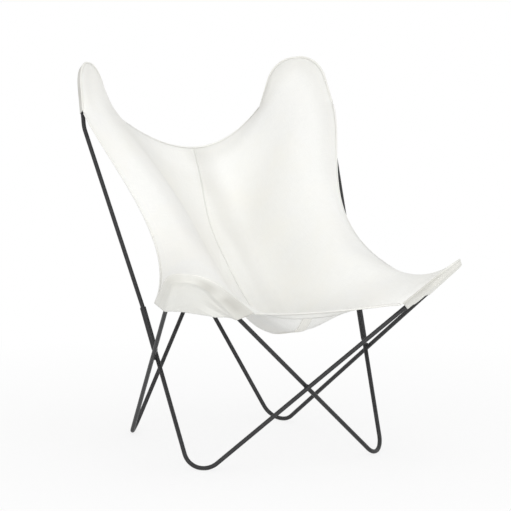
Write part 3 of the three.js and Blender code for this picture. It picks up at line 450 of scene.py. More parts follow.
def membrane(back, front, left, right):
    """Grid in which every inner point is the mean of its four neighbours, solved by sine sums.

    The wanted points X solve 4X minus the four neighbours equals the boundary part B. In the sine
    basis of both directions each term of B is divided by 4 - 2cos(a) - 2cos(b).
    """
    rows, columns = len(left) - 1, len(back) - 1
    grid = np.zeros((rows + 1, columns + 1, 3))
    grid[0], grid[-1], grid[:, 0], grid[:, -1] = back, front, left, right
    right_side = np.zeros((rows - 1, columns - 1, 3))
    right_side[0] += back[1:-1]
    right_side[-1] += front[1:-1]
    right_side[:, 0] += left[1:-1]
    right_side[:, -1] += right[1:-1]
    j, i = np.arange(1, rows), np.arange(1, columns)
    down = np.sin(math.pi * np.outer(j, j) / rows)
    over = np.sin(math.pi * np.outer(i, i) / columns)
    weight = 4 - 2 * np.cos(math.pi * j / rows)[:, None] - 2 * np.cos(math.pi * i / columns)[None]
    for axis in range(3):
        parts = down @ right_side[:, :, axis] @ over / weight
        grid[1:-1, 1:-1, axis] = down @ parts @ over * 4 / rows / columns
    return grid


def grid_normals(grid):
    """Unit normals of a grid of points, facing the side that the sitter is on: the sum of the normals of
    both triangles of each cell that meet at the point."""
    rows, columns = grid.shape[:2]
    normals = np.zeros_like(grid)
    a, b = grid[:-1, :-1], grid[:-1, 1:]
    c, d = grid[1:, 1:], grid[1:, :-1]
    first, second = np.cross(c - a, b - a), np.cross(d - a, c - a)
    for part, places in ((first, ((0, 0), (1, 1), (0, 1))), (second, ((0, 0), (1, 0), (1, 1)))):
        for dj, di in places:
            normals[dj:rows - 1 + dj, di:columns - 1 + di] += part
    return unit(normals)


def smooth_step(x, low, high):
    """0 below low, 1 above high, and 3t squared less 2t cubed of the share t between them."""
    t = np.clip((x - low) / (high - low), 0, 1)
    return t * t * (3 - 2 * t)


def hump(x, middle, width):
    """1 at the middle, falling as e to the minus square of the distance in widths."""
    return np.exp(-((x - middle) / width) ** 2)


def fold_rise(u, v):
    """Soft folds that fan out from each corner towards the seat, in millimetres: half a sine wave along the
    way from the corner, times two full waves over the right angle round it."""
    rise = np.zeros_like(u)
    for cu, cv in ((0, 0), (1, 0), (0, 1), (1, 1)):
        a, b = np.abs(u - cu), np.abs(v - cv)
        angle = np.arctan2(b, a) / (math.pi / 2)
        progress = np.clip((np.hypot(a, b) - FOLD_START) / FOLD_REACH, 0, 1)
        rise += FOLD_HEIGHT * np.sin(math.pi * progress) * np.sin(4 * math.pi * angle)
    return rise


def along_rows(v, *knots):
    """Value at v on a smooth line through (v, value) knots, with 3t squared less 2t cubed between two."""
    places, values = zip(*knots)
    place = np.interp(v, places, np.arange(len(places)))
    step = np.floor(np.clip(place, 0, len(places) - 1.001)).astype(int)
    share = smooth_step(place - step, 0, 1)
    values = np.array(values)
    return values[step] * (1 - share) + values[np.minimum(step + 1, len(values) - 1)] * share


def crease_sides(v):
    """Millimetres from the seam to the high and to the low side of the long crease, by the row v."""
    high = along_rows(v, (0, -29.0), (0.09, -5.0), (0.2, 20.0), (0.35, 37.0), (0.7, 37.0), (1, 20.0))
    low = along_rows(v, (0, 32.0), (0.09, 46.0), (0.2, 66.0), (0.35, 70.0), (0.6, 64.0), (0.8, 50.0), (1, 30.0))
    return high, low


def panel_painted_shade(v, across, edge_mm, from_left):
    """Painted shade on the cloth, 0 to 1: along the fall of the long crease and, fainter, from it to the left
    margin, and round the back corners and down the right margin, where a rod and a second layer lie
    behind it and shade it. Each is a strength by the row, times smooth steps of the distance across."""
    high, low = crease_sides(v)
    share = (across - high) / (low - high)
    strength = along_rows(v, (0, 0.24), (0.1, 0.24), (0.35, 0.2), (0.6, 0.12), (0.8, 0.05), (1, 0.0))
    ends = 1 - smooth_step(share, 0.5, 1.5)
    band = strength * smooth_step(share, -0.3, 0.3) * ends
    wing_rows = along_rows(v, (0, 0), (0.12, 1), (0.55, 0.8), (0.8, 0), (1, 0))
    wing = 0.2 * smooth_step(from_left, 55, 100) * ends * wing_rows
    right_side = along_rows(v, (0, 1.0), (0.14, 1.0), (0.36, 0.6), (0.5, 0), (1, 0))
    reach = np.where(across > 0, right_side, 0.4 * (1 - smooth_step(v, 0.1, 0.17)))
    return band + wing + 0.3 * reach * (1 - smooth_step(edge_mm, 20, 64))


def crease_rise(u, v, across, edge_mm, from_left, from_right):
    """Small forms of the hanging cloth along its normals, in millimetres.

    A long crease right of the seam: the cloth falls over its width and comes back over 150 mm. A ridge
    inside each side edge, at which the margin turns away. The rods print through at the four corners.
    Puckers gather along the hems, one long wrinkle starts from each back pocket, and slow waves, sums of
    sines of the place on the cloth, keep the rest from lying dead flat."""
    high, low = crease_sides(v)
    share = (across - high) / (low - high)
    lead = 1 - smooth_step((high - across) / 130, 0, 1)
    back = 1 - smooth_step((across - low) / 150, 0, 1)
    strength = along_rows(v, (0, 1.0), (0.08, 1.3), (0.25, 1.25), (0.55, 1.0), (0.75, 0.4), (1, 0.1))
    side = np.select([share < 0, share > 1], [lead, -back], 1 - 2 * smooth_step(share, 0, 1))
    rise = CREASE_HEIGHT * strength * side
    rise -= HOLLOW_DEPTH * hump(across, 0.75 * low, 90) * np.sin(math.pi * np.minimum(v / 0.75, 1))

    # The side ridges, by their distance in from the edge.
    left_place = along_rows(v, (0, 150.0), (0.29, 84.0), (0.47, 70.0), (0.64, 72.0), (0.8, 92.0), (1, 110.0))
    left_fall = 1 - smooth_step((from_left - left_place) / 190, 0, 1)
    middle = smooth_step(v, 0.08, 0.24) * (1 - smooth_step(v, 0.78, 0.9))
    rise += LEFT_RIDGE_HEIGHT * middle * smooth_step(from_left / left_place, 0.1, 1) * left_fall
    right_place = along_rows(v, (0, 52.0), (0.16, 55.0), (0.33, 40.0), (0.5, 28.0), (1, 26.0))
    right_share = from_right / right_place
    right_height = along_rows(v, (0, 3.0), (0.1, 6.5), (0.35, 6.5), (0.55, 3.5), (0.75, 1.0), (1, 0.0))
    rise += right_height * smooth_step(right_share, 0.1, 1) * (1 - smooth_step(right_share, 1, 4))

    # The cloth sinks between the rods of a back lobe, and each rod prints through.
    rise -= LOBE_SINK * (1 - smooth_step(v, 0.1, 0.24)) * smooth_step(edge_mm, 14, 62)
    end, flank = np.minimum(v, 1 - v), np.minimum(u, 1 - u)
    corner = (1 - smooth_step(end, 0.1, 0.17)) * (1 - smooth_step(flank, 0.17, 0.24))
    rise += ROD_PRINT * corner * hump(edge_mm, 15.0, 8.0)

    # Puckers along the hems and slow waves all over, as sines of millimetres.
    down = v * CENTRE_LENGTH
    place = from_left + 1.7 * down
    pucker = np.sin(place / 2.9) * 0.6 + np.sin(place / 4.7 + 1.1) * 0.4
    rise += PUCKER_HEIGHT * pucker * hump(edge_mm, 19.0, 7.0)
    waves = np.sin(across / 41 + down / 67 + 0.7) + np.sin(across / 63 - down / 37 + 2.1)
    waves += np.sin(across / 29 - down / 90)
    rise += WAVE_HEIGHT * smooth_step(edge_mm, 15, 80) * waves

    # The wrinkle below each back pocket, with a lip on its inner side.
    for from_side, start, drift in ((from_right, 24.0, 0.17), (from_left, 25.0, 0.21)):
        line = start - (down - 52) * drift
        run = smooth_step(down, 48, 66) * (1 - smooth_step(down, 92, 122))
        rise -= WRINKLE_DEPTH * run * hump(from_side, line, 2.6)
        rise += WRINKLE_LIP * run * hump(from_side, line + 7, 4.5)
    return rise


def sling_grid(edges, centre_points):
    """The hanging sling as a grid of points: a taut membrane in its four edges, with the belly drawn down
    to the centre line by (4u(1 - u)) to the BELLY_POWER, and folds and creases along the normals."""
    u, v = np.meshgrid(np.linspace(0, 1, COLUMNS + 1), np.linspace(0, 1, ROWS + 1))
    back, front = (catmull(edges[k], u[0]) for k in ("back", "front"))
    left, right = (catmull(edges[k], v[:, 0]) for k in ("left", "right"))
    grid = membrane(back, front, left, right)
    t = np.linspace(0, 1, CENTRE_STEPS + 1)
    line = catmull(centre_points, t)
    run = walked(line)
    centre = catmull(centre_points, np.interp(v[:, 0] * run[-1], run, t))
    pull = centre - grid[:, COLUMNS // 2]
    grid = grid + pull[:, None] * ((1 - (2 * u - 1) ** 2) ** BELLY_POWER)[:, :, None]
    still = 4 * np.sqrt(np.maximum(u * (1 - u) * v * (1 - v), 0))
    grid = grid + grid_normals(grid) * (fold_rise(u, v) * still)[:, :, None]
    over, fall = run_lengths(grid, 1), run_lengths(grid, 0)
    across = over - over[:, COLUMNS // 2:COLUMNS // 2 + 1]
    from_right = over[:, -1:] - over
    edge_mm = np.minimum(np.minimum(over, from_right), np.minimum(fall, fall[-1:] - fall))
    rise = crease_rise(u, v, across, edge_mm, over, from_right) * smooth_step(edge_mm, 0, EDGE_STILL)
    grid = grid + grid_normals(grid) * rise[:, :, None]
    return grid, u, v


def run_lengths(grid, axis):
    """Arc length along the rows (axis 1) or columns (axis 0) of a grid, from its start."""
    steps = np.linalg.norm(np.diff(grid, axis=axis), axis=2)
    start = np.zeros_like(np.take(steps, [0], axis=axis))
    return np.concatenate([start, np.cumsum(steps, axis=axis)], axis=axis)


def walked(line):
    """Length walked along a line of points, at each of them."""
    return run_lengths(np.asarray(line)[None], 1)[0]


def point_normals(points, faces):
    """Unit normals at the points of a mesh of quads: the sum of its faces' normals, each as long as its
    face's area."""
    a, b, c, d = (points[faces[:, k]] for k in range(4))
    face_normals = np.cross(c - a, d - b)
    normals = np.zeros_like(points)
    for k in range(4):
        np.add.at(normals, faces[:, k], face_normals)
    return unit(normals)


def shell_object(name, points, faces, thickness, uv, marks=None, normals=None):
    """A closed sheet of cloth round a mesh of quads: one face half the thickness along the normals, the
    other half of it against them, and a wall along each edge that only one quad has.

    Its UV is the cloth's own millimetres, and its marks are named values at the points."""
    points = np.asarray(points).reshape(-1, 3)
    normals = point_normals(points, faces) if normals is None else np.asarray(normals).reshape(-1, 3)
    count = len(points)
    edges = np.stack([faces, np.roll(faces, -1, axis=1)], axis=-1).reshape(-1, 2)
    a, b = edges[~np.isin(edges @ [count, 1], edges @ [1, count])].T
    wall = np.stack([b, a, count + a, count + b], axis=-1)
    both = np.vstack([points + normals * thickness / 2, points - normals * thickness / 2])
    uv = np.asarray(uv).reshape(-1, 2)
    obj = make_object(name, both, np.vstack([faces, count + faces[:, ::-1], wall]), np.vstack([uv, uv]))
    for mark, values in (marks or {}).items():
        attribute = obj.data.attributes.new(mark, "FLOAT", "POINT")
        attribute.data.foreach_set("value", np.tile(np.asarray(values, np.float32).ravel(), 2))
    return obj


# Materials.
def linear(hex_colour):
    """Linear colour with alpha of an sRGB #rrggbb."""
    parts = [int(hex_colour[k:k + 2], 16) / 255 for k in (1, 3, 5)]
    return [c / 12.92 if c <= 0.04045 else ((c + 0.055) / 1.055) ** 2.4 for c in parts] + [1.0]


def tinted(colour, red, green, blue):
    """The colour with its three parts times the given shares, at most 1."""
    return [min(part * share, 1) for part, share in zip(colour, (red, green, blue))] + [1.0]


def add_node(tree, kind, inputs=(), output=0, **settings):
    """Adds a shader node with its settings and links, and gives it back with the output that is used.

    Inputs are given in order or by key; each is a value, or the node and output that it is linked to. A
    MapRange takes the value, the range that it comes from and the range that it goes to, 0 to 1 if none."""
    node = tree.nodes.new("ShaderNode" + kind)
    for key, value in settings.items():
        setattr(node, key, value)
    for key, value in inputs.items() if isinstance(inputs, dict) else enumerate(inputs):
        if isinstance(value, tuple) and isinstance(value[0], bpy.types.Node):
            tree.links.new(value[0].outputs[value[1]], node.inputs[key])
        else:
            node.inputs[key].default_value = value
    return node, output


def new_material(name):
    """A material without nodes, and its tree."""
    material = bpy.data.materials.new(name)
    material.use_nodes = True
    material.node_tree.nodes.clear()
    return material, material.node_tree


def layered(tree, colour, layers):
    """The colour with layers of (share, colour, way of blending) laid over it, one after the other."""
    for share, tone, blend in layers:
        inputs = {0: share, 6: colour, 7: tone}
        colour = add_node(tree, "Mix", inputs, 2, data_type="RGBA", blend_type=blend)
    return colour


def soft_band(tree, value, middle, half_width):
    """1 where the value is near the middle, falling to 0 from 0.45 to 1 half width away from it."""
    off = add_node(tree, "Math", [value, middle], operation="SUBTRACT")
    off = add_node(tree, "Math", [off], operation="ABSOLUTE")
    return add_node(tree, "MapRange", [off, half_width, half_width * 0.45])


# The cloth's pattern in millimetres. Heavy canvas has about twelve threads to the centimetre. They keep that
# spacing, which is finer than a pixel from the photograph's distance, so that only a matt grain is left.
# Thick yarns come about a millimetre apart and last some 30 mm; fuzz and patches are blotches per length.
THREAD_PITCH = 0.85
WEAVE_HEIGHT = 0.16
SLUBS_ALONG, SLUBS_ACROSS = 0.035, 0.9
FUZZ_PER_MM = 2.2
PATCHES_PER_METRE = 7.0
STITCH_LENGTH = 3.6
STITCH_HALF_WIDTH = 0.75
GROOVE_HALF_WIDTH = 2.2
# Rows of stitches, by their distance from the edge and from the seam, and the width of the felled seam.
HEM_STITCHES = (3.2, 17.0)
POCKET_STITCHES = (17.0,)
SEAM_STITCHES = (2.2, 8.6)
FELLED_WIDTH = 10.5
THREAD_TONE = "#f7f6ef"


def canvas(name, tone, hem_rows=(), seam_rows=(), felled=0.0, relief=0.4):
    """Plain-weave cotton canvas in off-white: matt, with a fine grain, thicker yarns here and there, sunk
    rows of stitches, and a neutral grey mixed in by a mark, which is painted shade.

    Warp and weft are sines of the cloth's own millimetres, half a wave to a thread. Where their product is
    above zero the warp lies on top, so the height is the greater of |warp| (1 + product) and
    |weft| (1 - product). Noise drawn out along either thread gives the thick yarns. A row of stitches is a
    band round its distance from the edge or the seam, cut into dashes along the row, in a shallow groove."""
    material, tree = new_material(name)
    uv = add_node(tree, "UVMap", uv_map="cloth_mm")
    split = add_node(tree, "SeparateXYZ", [uv])[0]
    threads, tops, slubs = [], [], []
    for axis in (0, 1):
        turn = add_node(tree, "Math", [(split, axis), math.pi / THREAD_PITCH], operation="MULTIPLY")
        threads.append(add_node(tree, "Math", [turn], operation="SINE"))
    product = add_node(tree, "Math", threads, operation="MULTIPLY")
    for thread, operation in zip(threads, ("ADD", "SUBTRACT")):
        size = add_node(tree, "Math", [thread], operation="ABSOLUTE")
        lift = add_node(tree, "Math", [1.0, product], operation=operation)
        tops.append(add_node(tree, "Math", [size, lift], operation="MULTIPLY"))
    weave = add_node(tree, "Math", tops, operation="MAXIMUM")
    for spread in ((SLUBS_ALONG, SLUBS_ACROSS, 1.0), (SLUBS_ACROSS, SLUBS_ALONG, 1.0)):
        place = add_node(tree, "VectorMath", [uv, spread], operation="MULTIPLY")
        slubs.append(add_node(tree, "TexNoise", {"Vector": place, "Scale": 1.0, "Detail": 3.0}))
    yarn = add_node(tree, "Math", slubs, operation="MULTIPLY")
    place = add_node(tree, "TexCoord", output="Object")
    patches = {"Vector": place, "Scale": PATCHES_PER_METRE, "Detail": 4.0, "Roughness": 0.6}
    mottle = add_node(tree, "TexNoise", patches)
    fuzz = add_node(tree, "TexNoise", {"Vector": uv, "Scale": FUZZ_PER_MM, "Detail": 2.0})
    shade = add_node(tree, "MapRange", [weave, 0.0, 1.2, 0.94, 1.0])
    base = linear(tone)
    layers = [
        (add_node(tree, "MapRange", [yarn, 0.16, 0.34]), base, "MIX"),
        (add_node(tree, "MapRange", [mottle, 0.42, 0.66, 0.0, 0.55]), tinted(base, 0.985, 0.972, 0.94), "MIX"),
        (1.0, add_node(tree, "CombineColor", [shade] * 3), "MULTIPLY"),
    ]
    height = add_node(tree, "Math", [weave, WEAVE_HEIGHT], operation="MULTIPLY")
    for part, share in ((fuzz, 0.1), (slubs[0], 0.08)):
        height = add_node(tree, "Math", [part, share, height], operation="MULTIPLY_ADD")

    # Marks of the cloth: distance from the edge and from the seam, run along the stitches, and painted shade.
    edge_mm, seam_mm, run_mm, soil = (
        add_node(tree, "Attribute", output=2, attribute_name=mark)
        for mark in ("edge_mm", "seam_mm", "run_mm", "soil")
    )
    phase = add_node(tree, "Math", [run_mm, STITCH_LENGTH], operation="DIVIDE")
    dash = soft_band(tree, add_node(tree, "Math", [phase], operation="FRACT"), 0.5, 0.42)
    stitches = 0.0
    for row, distance in [(row, edge_mm) for row in hem_rows] + [(row, seam_mm) for row in seam_rows]:
        groove = soft_band(tree, distance, row, GROOVE_HALF_WIDTH)
        sunk = add_node(tree, "Math", [groove, 0.15], operation="MULTIPLY")
        height = add_node(tree, "Math", [height, sunk], operation="SUBTRACT")
        # Each groove is also painted a tenth darker: painted shade in the sunk row of stitches.
        layers.append((sunk, tinted(base, 0.9, 0.9, 0.9), "MIX"))
        line = soft_band(tree, distance, row, STITCH_HALF_WIDTH)
        dashes = add_node(tree, "Math", [line, dash], operation="MULTIPLY")
        stitches = add_node(tree, "Math", [stitches, dashes], operation="MAXIMUM")
    height = add_node(tree, "Math", [stitches, 0.25, height], operation="MULTIPLY_ADD")
    if felled:
        layer = add_node(tree, "MapRange", [seam_mm, felled, felled + 1.0, 0.4, 0.0])
        height = add_node(tree, "Math", [height, layer], operation="ADD")
    # The last layer is painted shade: by its mark the cloth is mixed towards a grey about two thirds as bright.
    layers += [(stitches, linear(THREAD_TONE), "MIX"), (soil, tinted(base, 0.68, 0.67, 0.65), "MIX")]
    look = {
        "Base Color": layered(tree, tinted(base, 0.955, 0.955, 0.955), layers),
        "Roughness": add_node(tree, "MapRange", [fuzz, 0.3, 0.7, 0.82, 0.96]),
        "Normal": add_node(tree, "Bump", {"Strength": relief, "Distance": METRES, "Height": height}),
        "Specular IOR Level": 0.25,
        "Sheen Weight": 0.12,
        "Sheen Roughness": 0.5,
    }
    add_node(tree, "OutputMaterial", [add_node(tree, "BsdfPrincipled", look)])
    return material


# The coat's pattern: orange peel of about a millimetre, clouds of some four centimetres, and specks of two
# millimetres where it is rubbed; the heights are in metres.
PEEL_PER_METRE, CLOUDS_PER_METRE, SPECKS_PER_METRE = 900.0, 26.0, 420.0
PEEL_HEIGHT = 0.0003
RUBBED_FROM, RUBBED_TO = 0.0035, 0.0004
BARE_STEEL_TONE = "#8b8b88"


def powder_coat(name, tone, peel=1.0):
    """Steel bar under a satin powder coat: dark grey with a half gloss that fine orange peel breaks, cloudy
    lighter patches, and bare specks rubbed into the last millimetres above the floor. All of it is noise
    of the place on the chair; the specks are weighted by the height."""
    material, tree = new_material(name)
    place = add_node(tree, "TexCoord", output="Object")
    peel_noise, cloud, speck = (
        add_node(tree, "TexNoise", {"Vector": place, "Scale": scale, "Detail": detail, "Roughness": rough})
        for scale, detail, rough in (
            (PEEL_PER_METRE * peel, 2.0, 0.5), (CLOUDS_PER_METRE, 5.0, 0.65), (SPECKS_PER_METRE, 1.0, 0.5),
        )
    )
    height = add_node(tree, "SeparateXYZ", [place], 2)
    low = add_node(tree, "MapRange", [height, RUBBED_FROM, RUBBED_TO])
    specks = add_node(tree, "MapRange", [speck, 0.35, 0.55])
    rubbed = add_node(tree, "Math", [low, specks], operation="MULTIPLY")
    base = linear(tone)
    clouded = add_node(tree, "MapRange", [cloud, 0.4, 0.75, 0.0, 0.5])
    layers = [(clouded, tinted(base, 1.5, 1.5, 1.5), "MIX"), (rubbed, linear(BARE_STEEL_TONE), "MIX")]
    look = {
        "Base Color": layered(tree, base, layers),
        "Roughness": add_node(tree, "MapRange", [cloud, 0.3, 0.7, 0.36, 0.48]),
        "Normal": add_node(tree, "Bump", {"Strength": 0.25, "Distance": PEEL_HEIGHT, "Height": peel_noise}),
        "Metallic": 0.0,
        "Specular IOR Level": 0.22,
    }
    add_node(tree, "OutputMaterial", [add_node(tree, "BsdfPrincipled", look)])
    return material


def place_piece(obj, material, slot_name, *nodes):
    """Gives a piece its material, ties it to the chair's body and lets it stand for CAD nodes."""
    obj.data.materials.append(material)
    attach(obj, "root")
    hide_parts(*nodes)


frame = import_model()

steel = powder_coat("rod_powder_coat", "#303031")
weld_steel = powder_coat("weld_powder_coat", "#202021", peel=0.6)
panel_cloth = canvas("canvas_panels", "#f4f4f1", HEM_STITCHES, SEAM_STITCHES, FELLED_WIDTH)
pocket_cloth = canvas("canvas_pockets", "#eeeee9", POCKET_STITCHES, relief=0.12)
hem_cloth = canvas("canvas_hems", "#f2f2ee", HEM_STITCHES)
tape_cloth = canvas("canvas_tape", "#efeee8", seam_rows=SEAM_STITCHES)

# Frame.
FORWARD, UPWARD = np.array([0, -1.0, 0]), np.array([0, 0, 1.0])
loops = solve_loops()
left_loop, right_loop = loops


def crossing(one, ends_one, two, ends_two):
    """Where two straight rods pass: the nearest point of each to the other, and their directions."""
    a, b, c, d = one[ends_one[0]], one[ends_one[1]], two[ends_two[0]], two[ends_two[1]]
    first, second = line_crossing(a, b, c, d), line_crossing(c, d, a, b)
    return {"first": first, "second": second, "one": unit(b - a), "two": unit(d - c)}


FRONT_ROD = ("front_foot", "front_corner")
REAR_ROD = ("rear_foot", "front_corner")
LEG = ("front_foot", "front_leg")
INNER_LEG = ("rear_foot", "rear_leg")
crossings = {
    "front": crossing(left_loop, FRONT_ROD, right_loop, FRONT_ROD),
    "rear": crossing(left_loop, INNER_LEG, right_loop, INNER_LEG),
    "left": crossing(left_loop, LEG, right_loop, REAR_ROD),
    "right": crossing(right_loop, LEG, left_loop, REAR_ROD),
}


def sleeve_seat(p, ends, point):
    """Bottom, direction and mouth of a sleeve on a leg, a set length above the point of a crossing."""
    direction = unit(p[ends[1]] - p[ends[0]])
    bottom = point + direction * SLEEVE_ABOVE_CROSSING
    return {"bottom": bottom, "direction": direction, "mouth": bottom + direction * SLEEVE_LENGTH}


sleeves = {
    "left": sleeve_seat(left_loop, LEG, crossings["left"]["first"]),
    "right": sleeve_seat(right_loop, LEG, crossings["right"]["first"]),
    "rear_left": sleeve_seat(left_loop, INNER_LEG, crossings["rear"]["first"]),
    "rear_right": sleeve_seat(right_loop, INNER_LEG, crossings["rear"]["second"]),
}
hoop_frames = []
for p, name in zip(loops, ("left", "right")):
    outer, inner = sleeves[name], sleeves[f"rear_{name}"]
    line = bent_line(
        [
            outer["bottom"] + outer["direction"] * LEG_IN_SLEEVE,
            p["front_foot"],
            p["front_corner"],
            p["rear_foot"],
            inner["bottom"] + inner["direction"] * LEG_IN_SLEEVE,
        ],
        [BEND_RADIUS] * 3,
    )
    points, faces = sweep(line, ROD_SIDES)
    points[:, 2] = np.maximum(points[:, 2], 0)
    place_piece(make_object(f"rod_{name}", points, faces), steel, "rod_steel", f"base_rod_{name}")
    hoop = corner_frame(p["hoop_corner"], inner["mouth"], outer["mouth"], HOOP_BEND_RADIUS, FORWARD)
    hoop_frames.append(hoop)
    points, faces = sweep(hoop_line(hoop, inner, outer), ROD_SIDES)
    place_piece(make_object(f"hoop_{name}", points, faces), steel, "rod_steel", f"back_hoop_{name}")

# Section of a sleeve as (radius, height): its lower end tapered to the rod, its mouth rounded, its bore.
SLEEVE_PROFILE = [
    (5.2, 0.0), (5.45, 0.0), (5.75, 0.5), (6.6, 3.4), (7.0, 5.6), (7.0, 9.0), (7.0, 30.0), (7.0, 60.0),
    (7.0, 90.0), (7.0, 106.6), (6.9, 107.4), (6.6, 107.9), (6.2, 108.0), (5.6, 108.0), (5.3, 107.7),
    (5.25, 106.5), (5.2, 60.0), (5.2, 0.0),
]
SLEEVE_SIDES = 40
# Half sizes of a weld bead along, across and through the notch, and the grid of its surface.
BEAD_HALF_SIZES = (7.4, 6.2, 3.9)
BEAD_RINGS, BEAD_SIDES = 33, 48
for name, seat in sleeves.items():
    points, faces = lathe(SLEEVE_PROFILE, SLEEVE_SIDES, seat["bottom"], seat["direction"])
    place_piece(make_object(f"sleeve_tube_{name}", points, faces), steel, "rod_steel", f"sleeve_{name}")


def bead(cross):
    """A weld bead in the notch of two crossing rods: an ellipsoid between their nearest points, with the
    ripples of its passes as sines of the place along it on its two shorter axes."""
    middle = (cross["first"] + cross["second"]) / 2
    axis = unit(cross["one"] + cross["two"])
    normal = unit(np.cross(cross["one"], cross["two"]))
    rings, turns = np.linspace(0, math.pi, BEAD_RINGS), np.arange(BEAD_SIDES) * 2 * math.pi / BEAD_SIDES
    theta, phi = np.meshgrid(rings, turns, indexing="ij")
    x = np.cos(theta)
    ripple = 1 + 0.035 * np.sin(11 * x + 1.5 * np.sin(phi)) + 0.02 * np.sin(23 * x)
    across, through = np.sin(theta) * np.cos(phi) * ripple, np.sin(theta) * np.sin(phi) * ripple
    local = np.stack([x, across, through], axis=-1) * BEAD_HALF_SIZES
    points = middle + local @ np.array([axis, np.cross(normal, axis), normal])
    return points.reshape(-1, 3), grid_faces(BEAD_RINGS, BEAD_SIDES, wrap=True)


for name, cross in crossings.items():
    points, faces = bead(cross)
    place_piece(make_object(f"bead_{name}", points, faces), weld_steel, "weld_steel", f"weld_{name}")

# Sling.
MIRROR = np.array([-1.0, 1.0, 1.0])
front_lobes = []
for p, outline in ((right_loop, FRONT_LEFT_LOBE), (left_loop, FRONT_RIGHT_LOBE)):
    flat_frame = corner_frame(p["front_corner"], p["front_foot"], p["rear_foot"], BEND_RADIUS, UPWARD)
    front_lobes.append(lobe(flat_frame, outline))
back_lobes = [lobe(folded_frame(f), BACK_LOBE) for f in hoop_frames]
(back_left, back_right), (front_left, front_right) = back_lobes, front_lobes
edges = {
    "back": edge_curve(back_left, -1, back_right, -1, BACK_HANG, CROSS_INTERVALS),
    "front": edge_curve(front_left, -1, front_right, -1, FRONT_HANG, CROSS_INTERVALS),
    "left": edge_curve(back_left, 1, front_left, 1, SIDE_HANG, SIDE_INTERVALS, SIDE_SKEW),
    "right": edge_curve(back_right, 1, front_right, 1, MIRROR * SIDE_HANG, SIDE_INTERVALS, SIDE_SKEW),
}
back_middle, front_middle = catmull(edges["back"], 0.5)[0], catmull(edges["front"], 0.5)[0]
low_z, low_y = SEAT_LOW
centre_points = [
    (0, back_middle[1] + (low_y - back_middle[1]) * run, low_z + (back_middle[2] - low_z) * height)
    for run, height in zip(BACKREST_RUN_SHARES, BACKREST_HEIGHT_SHARES)
] + [
    (0, low_y + (front_middle[1] - low_y) * run, low_z + (front_middle[2] - low_z) * height)
    for run, height in zip(SEAT_RUN_SHARES, SEAT_HEIGHT_SHARES)
]
grid, u, v = sling_grid(edges, np.array(centre_points))
normals = grid_normals(grid)
half = COLUMNS // 2
over_mm = run_lengths(grid, 1)
down_mm = run_lengths(grid, 0)
cloth_x = over_mm - over_mm[:, half:half + 1]
cloth_y = down_mm - down_mm[ROWS // 2]
uv = np.stack([cloth_x, cloth_y], axis=-1)
to_sides = np.minimum(over_mm, over_mm[:, -1:] - over_mm)
to_ends = np.minimum(down_mm, down_mm[-1:] - down_mm)
edge_mm = np.minimum(to_sides, to_ends)
seam_mm = np.abs(cloth_x)
# Stitches run down the cloth at the sides and beside the seam, and across it at the back and front hems.
run_mm = np.where((to_sides < to_ends) | (seam_mm < BESIDE_SEAM), cloth_y, cloth_x)
# Painted shade of the panels: a darker grey along the crease, on the left wing, round the back corners and down
# the right margin.
soil = panel_painted_shade(v, cloth_x, edge_mm, over_mm)
sling_marks = {"edge_mm": edge_mm, "run_mm": run_mm, "seam_mm": seam_mm, "soil": soil}
for name, part in (("left", slice(0, half + 1)), ("right", slice(half, COLUMNS + 1))):
    marks = {mark: values[:, part] for mark, values in sling_marks.items()}
    places = grid[:, part].copy()
    if name == "left":
        places[:, -1, 0] -= SEAM_CLEARANCE
    else:
        places[:, 0, 0] += SEAM_CLEARANCE
    faces = grid_faces(*places.shape[:2], flip=True)
    obj = shell_object(f"canvas_{name}", places, faces, CLOTH, uv[:, part], marks, normals[:, part])
    place_piece(obj, panel_cloth, "canvas", f"sling_panel_{name}")


def strip_object(name, rows, normals, uv_rows, marks, thickness):
    """A closed strip of cloth from rows of points; its faces are turned to the side of the normals."""
    rows, normals = np.array(rows), np.array(normals)
    faces = grid_faces(*rows.shape[:2])
    if (point_normals(rows.reshape(-1, 3), faces) * normals.reshape(-1, 3)).sum() < 0:
        faces = faces[:, ::-1]
    return shell_object(name, rows, faces, thickness, uv_rows, marks, normals)


def inward_line(line_points, line_normals, distances):
    """Places and normals at given distances along a line of the grid from its first point."""
    run = walked(line_points)
    places, normals = (
        np.stack([np.interp(distances, run, part) for part in values.T], axis=-1)
        for values in (line_points, line_normals)
    )
    return places, unit(normals)


def hem_object(name, lines, node, soil):
    """A turned hem: a strip under the cloth that rolls round its edge and ends on top. Its fold has a painted
    shadow line.

    Each line of the grid that starts at the edge gives one section: set back under the cloth at the
    distances of HEM_RUN, half a circle round the edge, and the end of the strip on top."""
    depth = CLOTH / 2 + HEM_CLEARANCE + HEM_CLOTH / 2
    angles = np.radians(ROLL_ANGLES)[:, None]
    across = np.concatenate([HEM_RUN, -np.linspace(0, ROLL_RUN, len(angles)), [-TOP_RUN]])
    sections, facing = [], []
    for line_points, line_normals in lines:
        flat, lifted = inward_line(line_points, line_normals, HEM_RUN)
        edge, up = line_points[0], line_normals[0]
        inward = unit(flat[-1] - edge)
        inward = unit(inward - up * (inward @ up))
        ways = -inward * np.cos(angles) + up * np.sin(angles)
        end = edge + inward * TOP_END + up * (EDGE_ROLL - TOP_SINK)
        sections.append(np.vstack([flat - lifted * depth, edge + inward * ROLL_INSET + ways * EDGE_ROLL, end]))
        facing.append(np.vstack([-lifted, ways, up]))
    along = walked([line_points[0] for line_points, _ in lines])
    run, reach = np.meshgrid(along, across, indexing="ij")
    # A painted shadow line along the fold, just past the edge, as strong as the given share.
    marks = {"edge_mm": reach, "run_mm": run, "soil": soil * hump(reach, 0.5, 2.2)}
    obj = strip_object(name, sections, facing, np.stack([reach, run], axis=-1), marks, HEM_CLOTH)
    place_piece(obj, hem_cloth, "seam_tape", node)


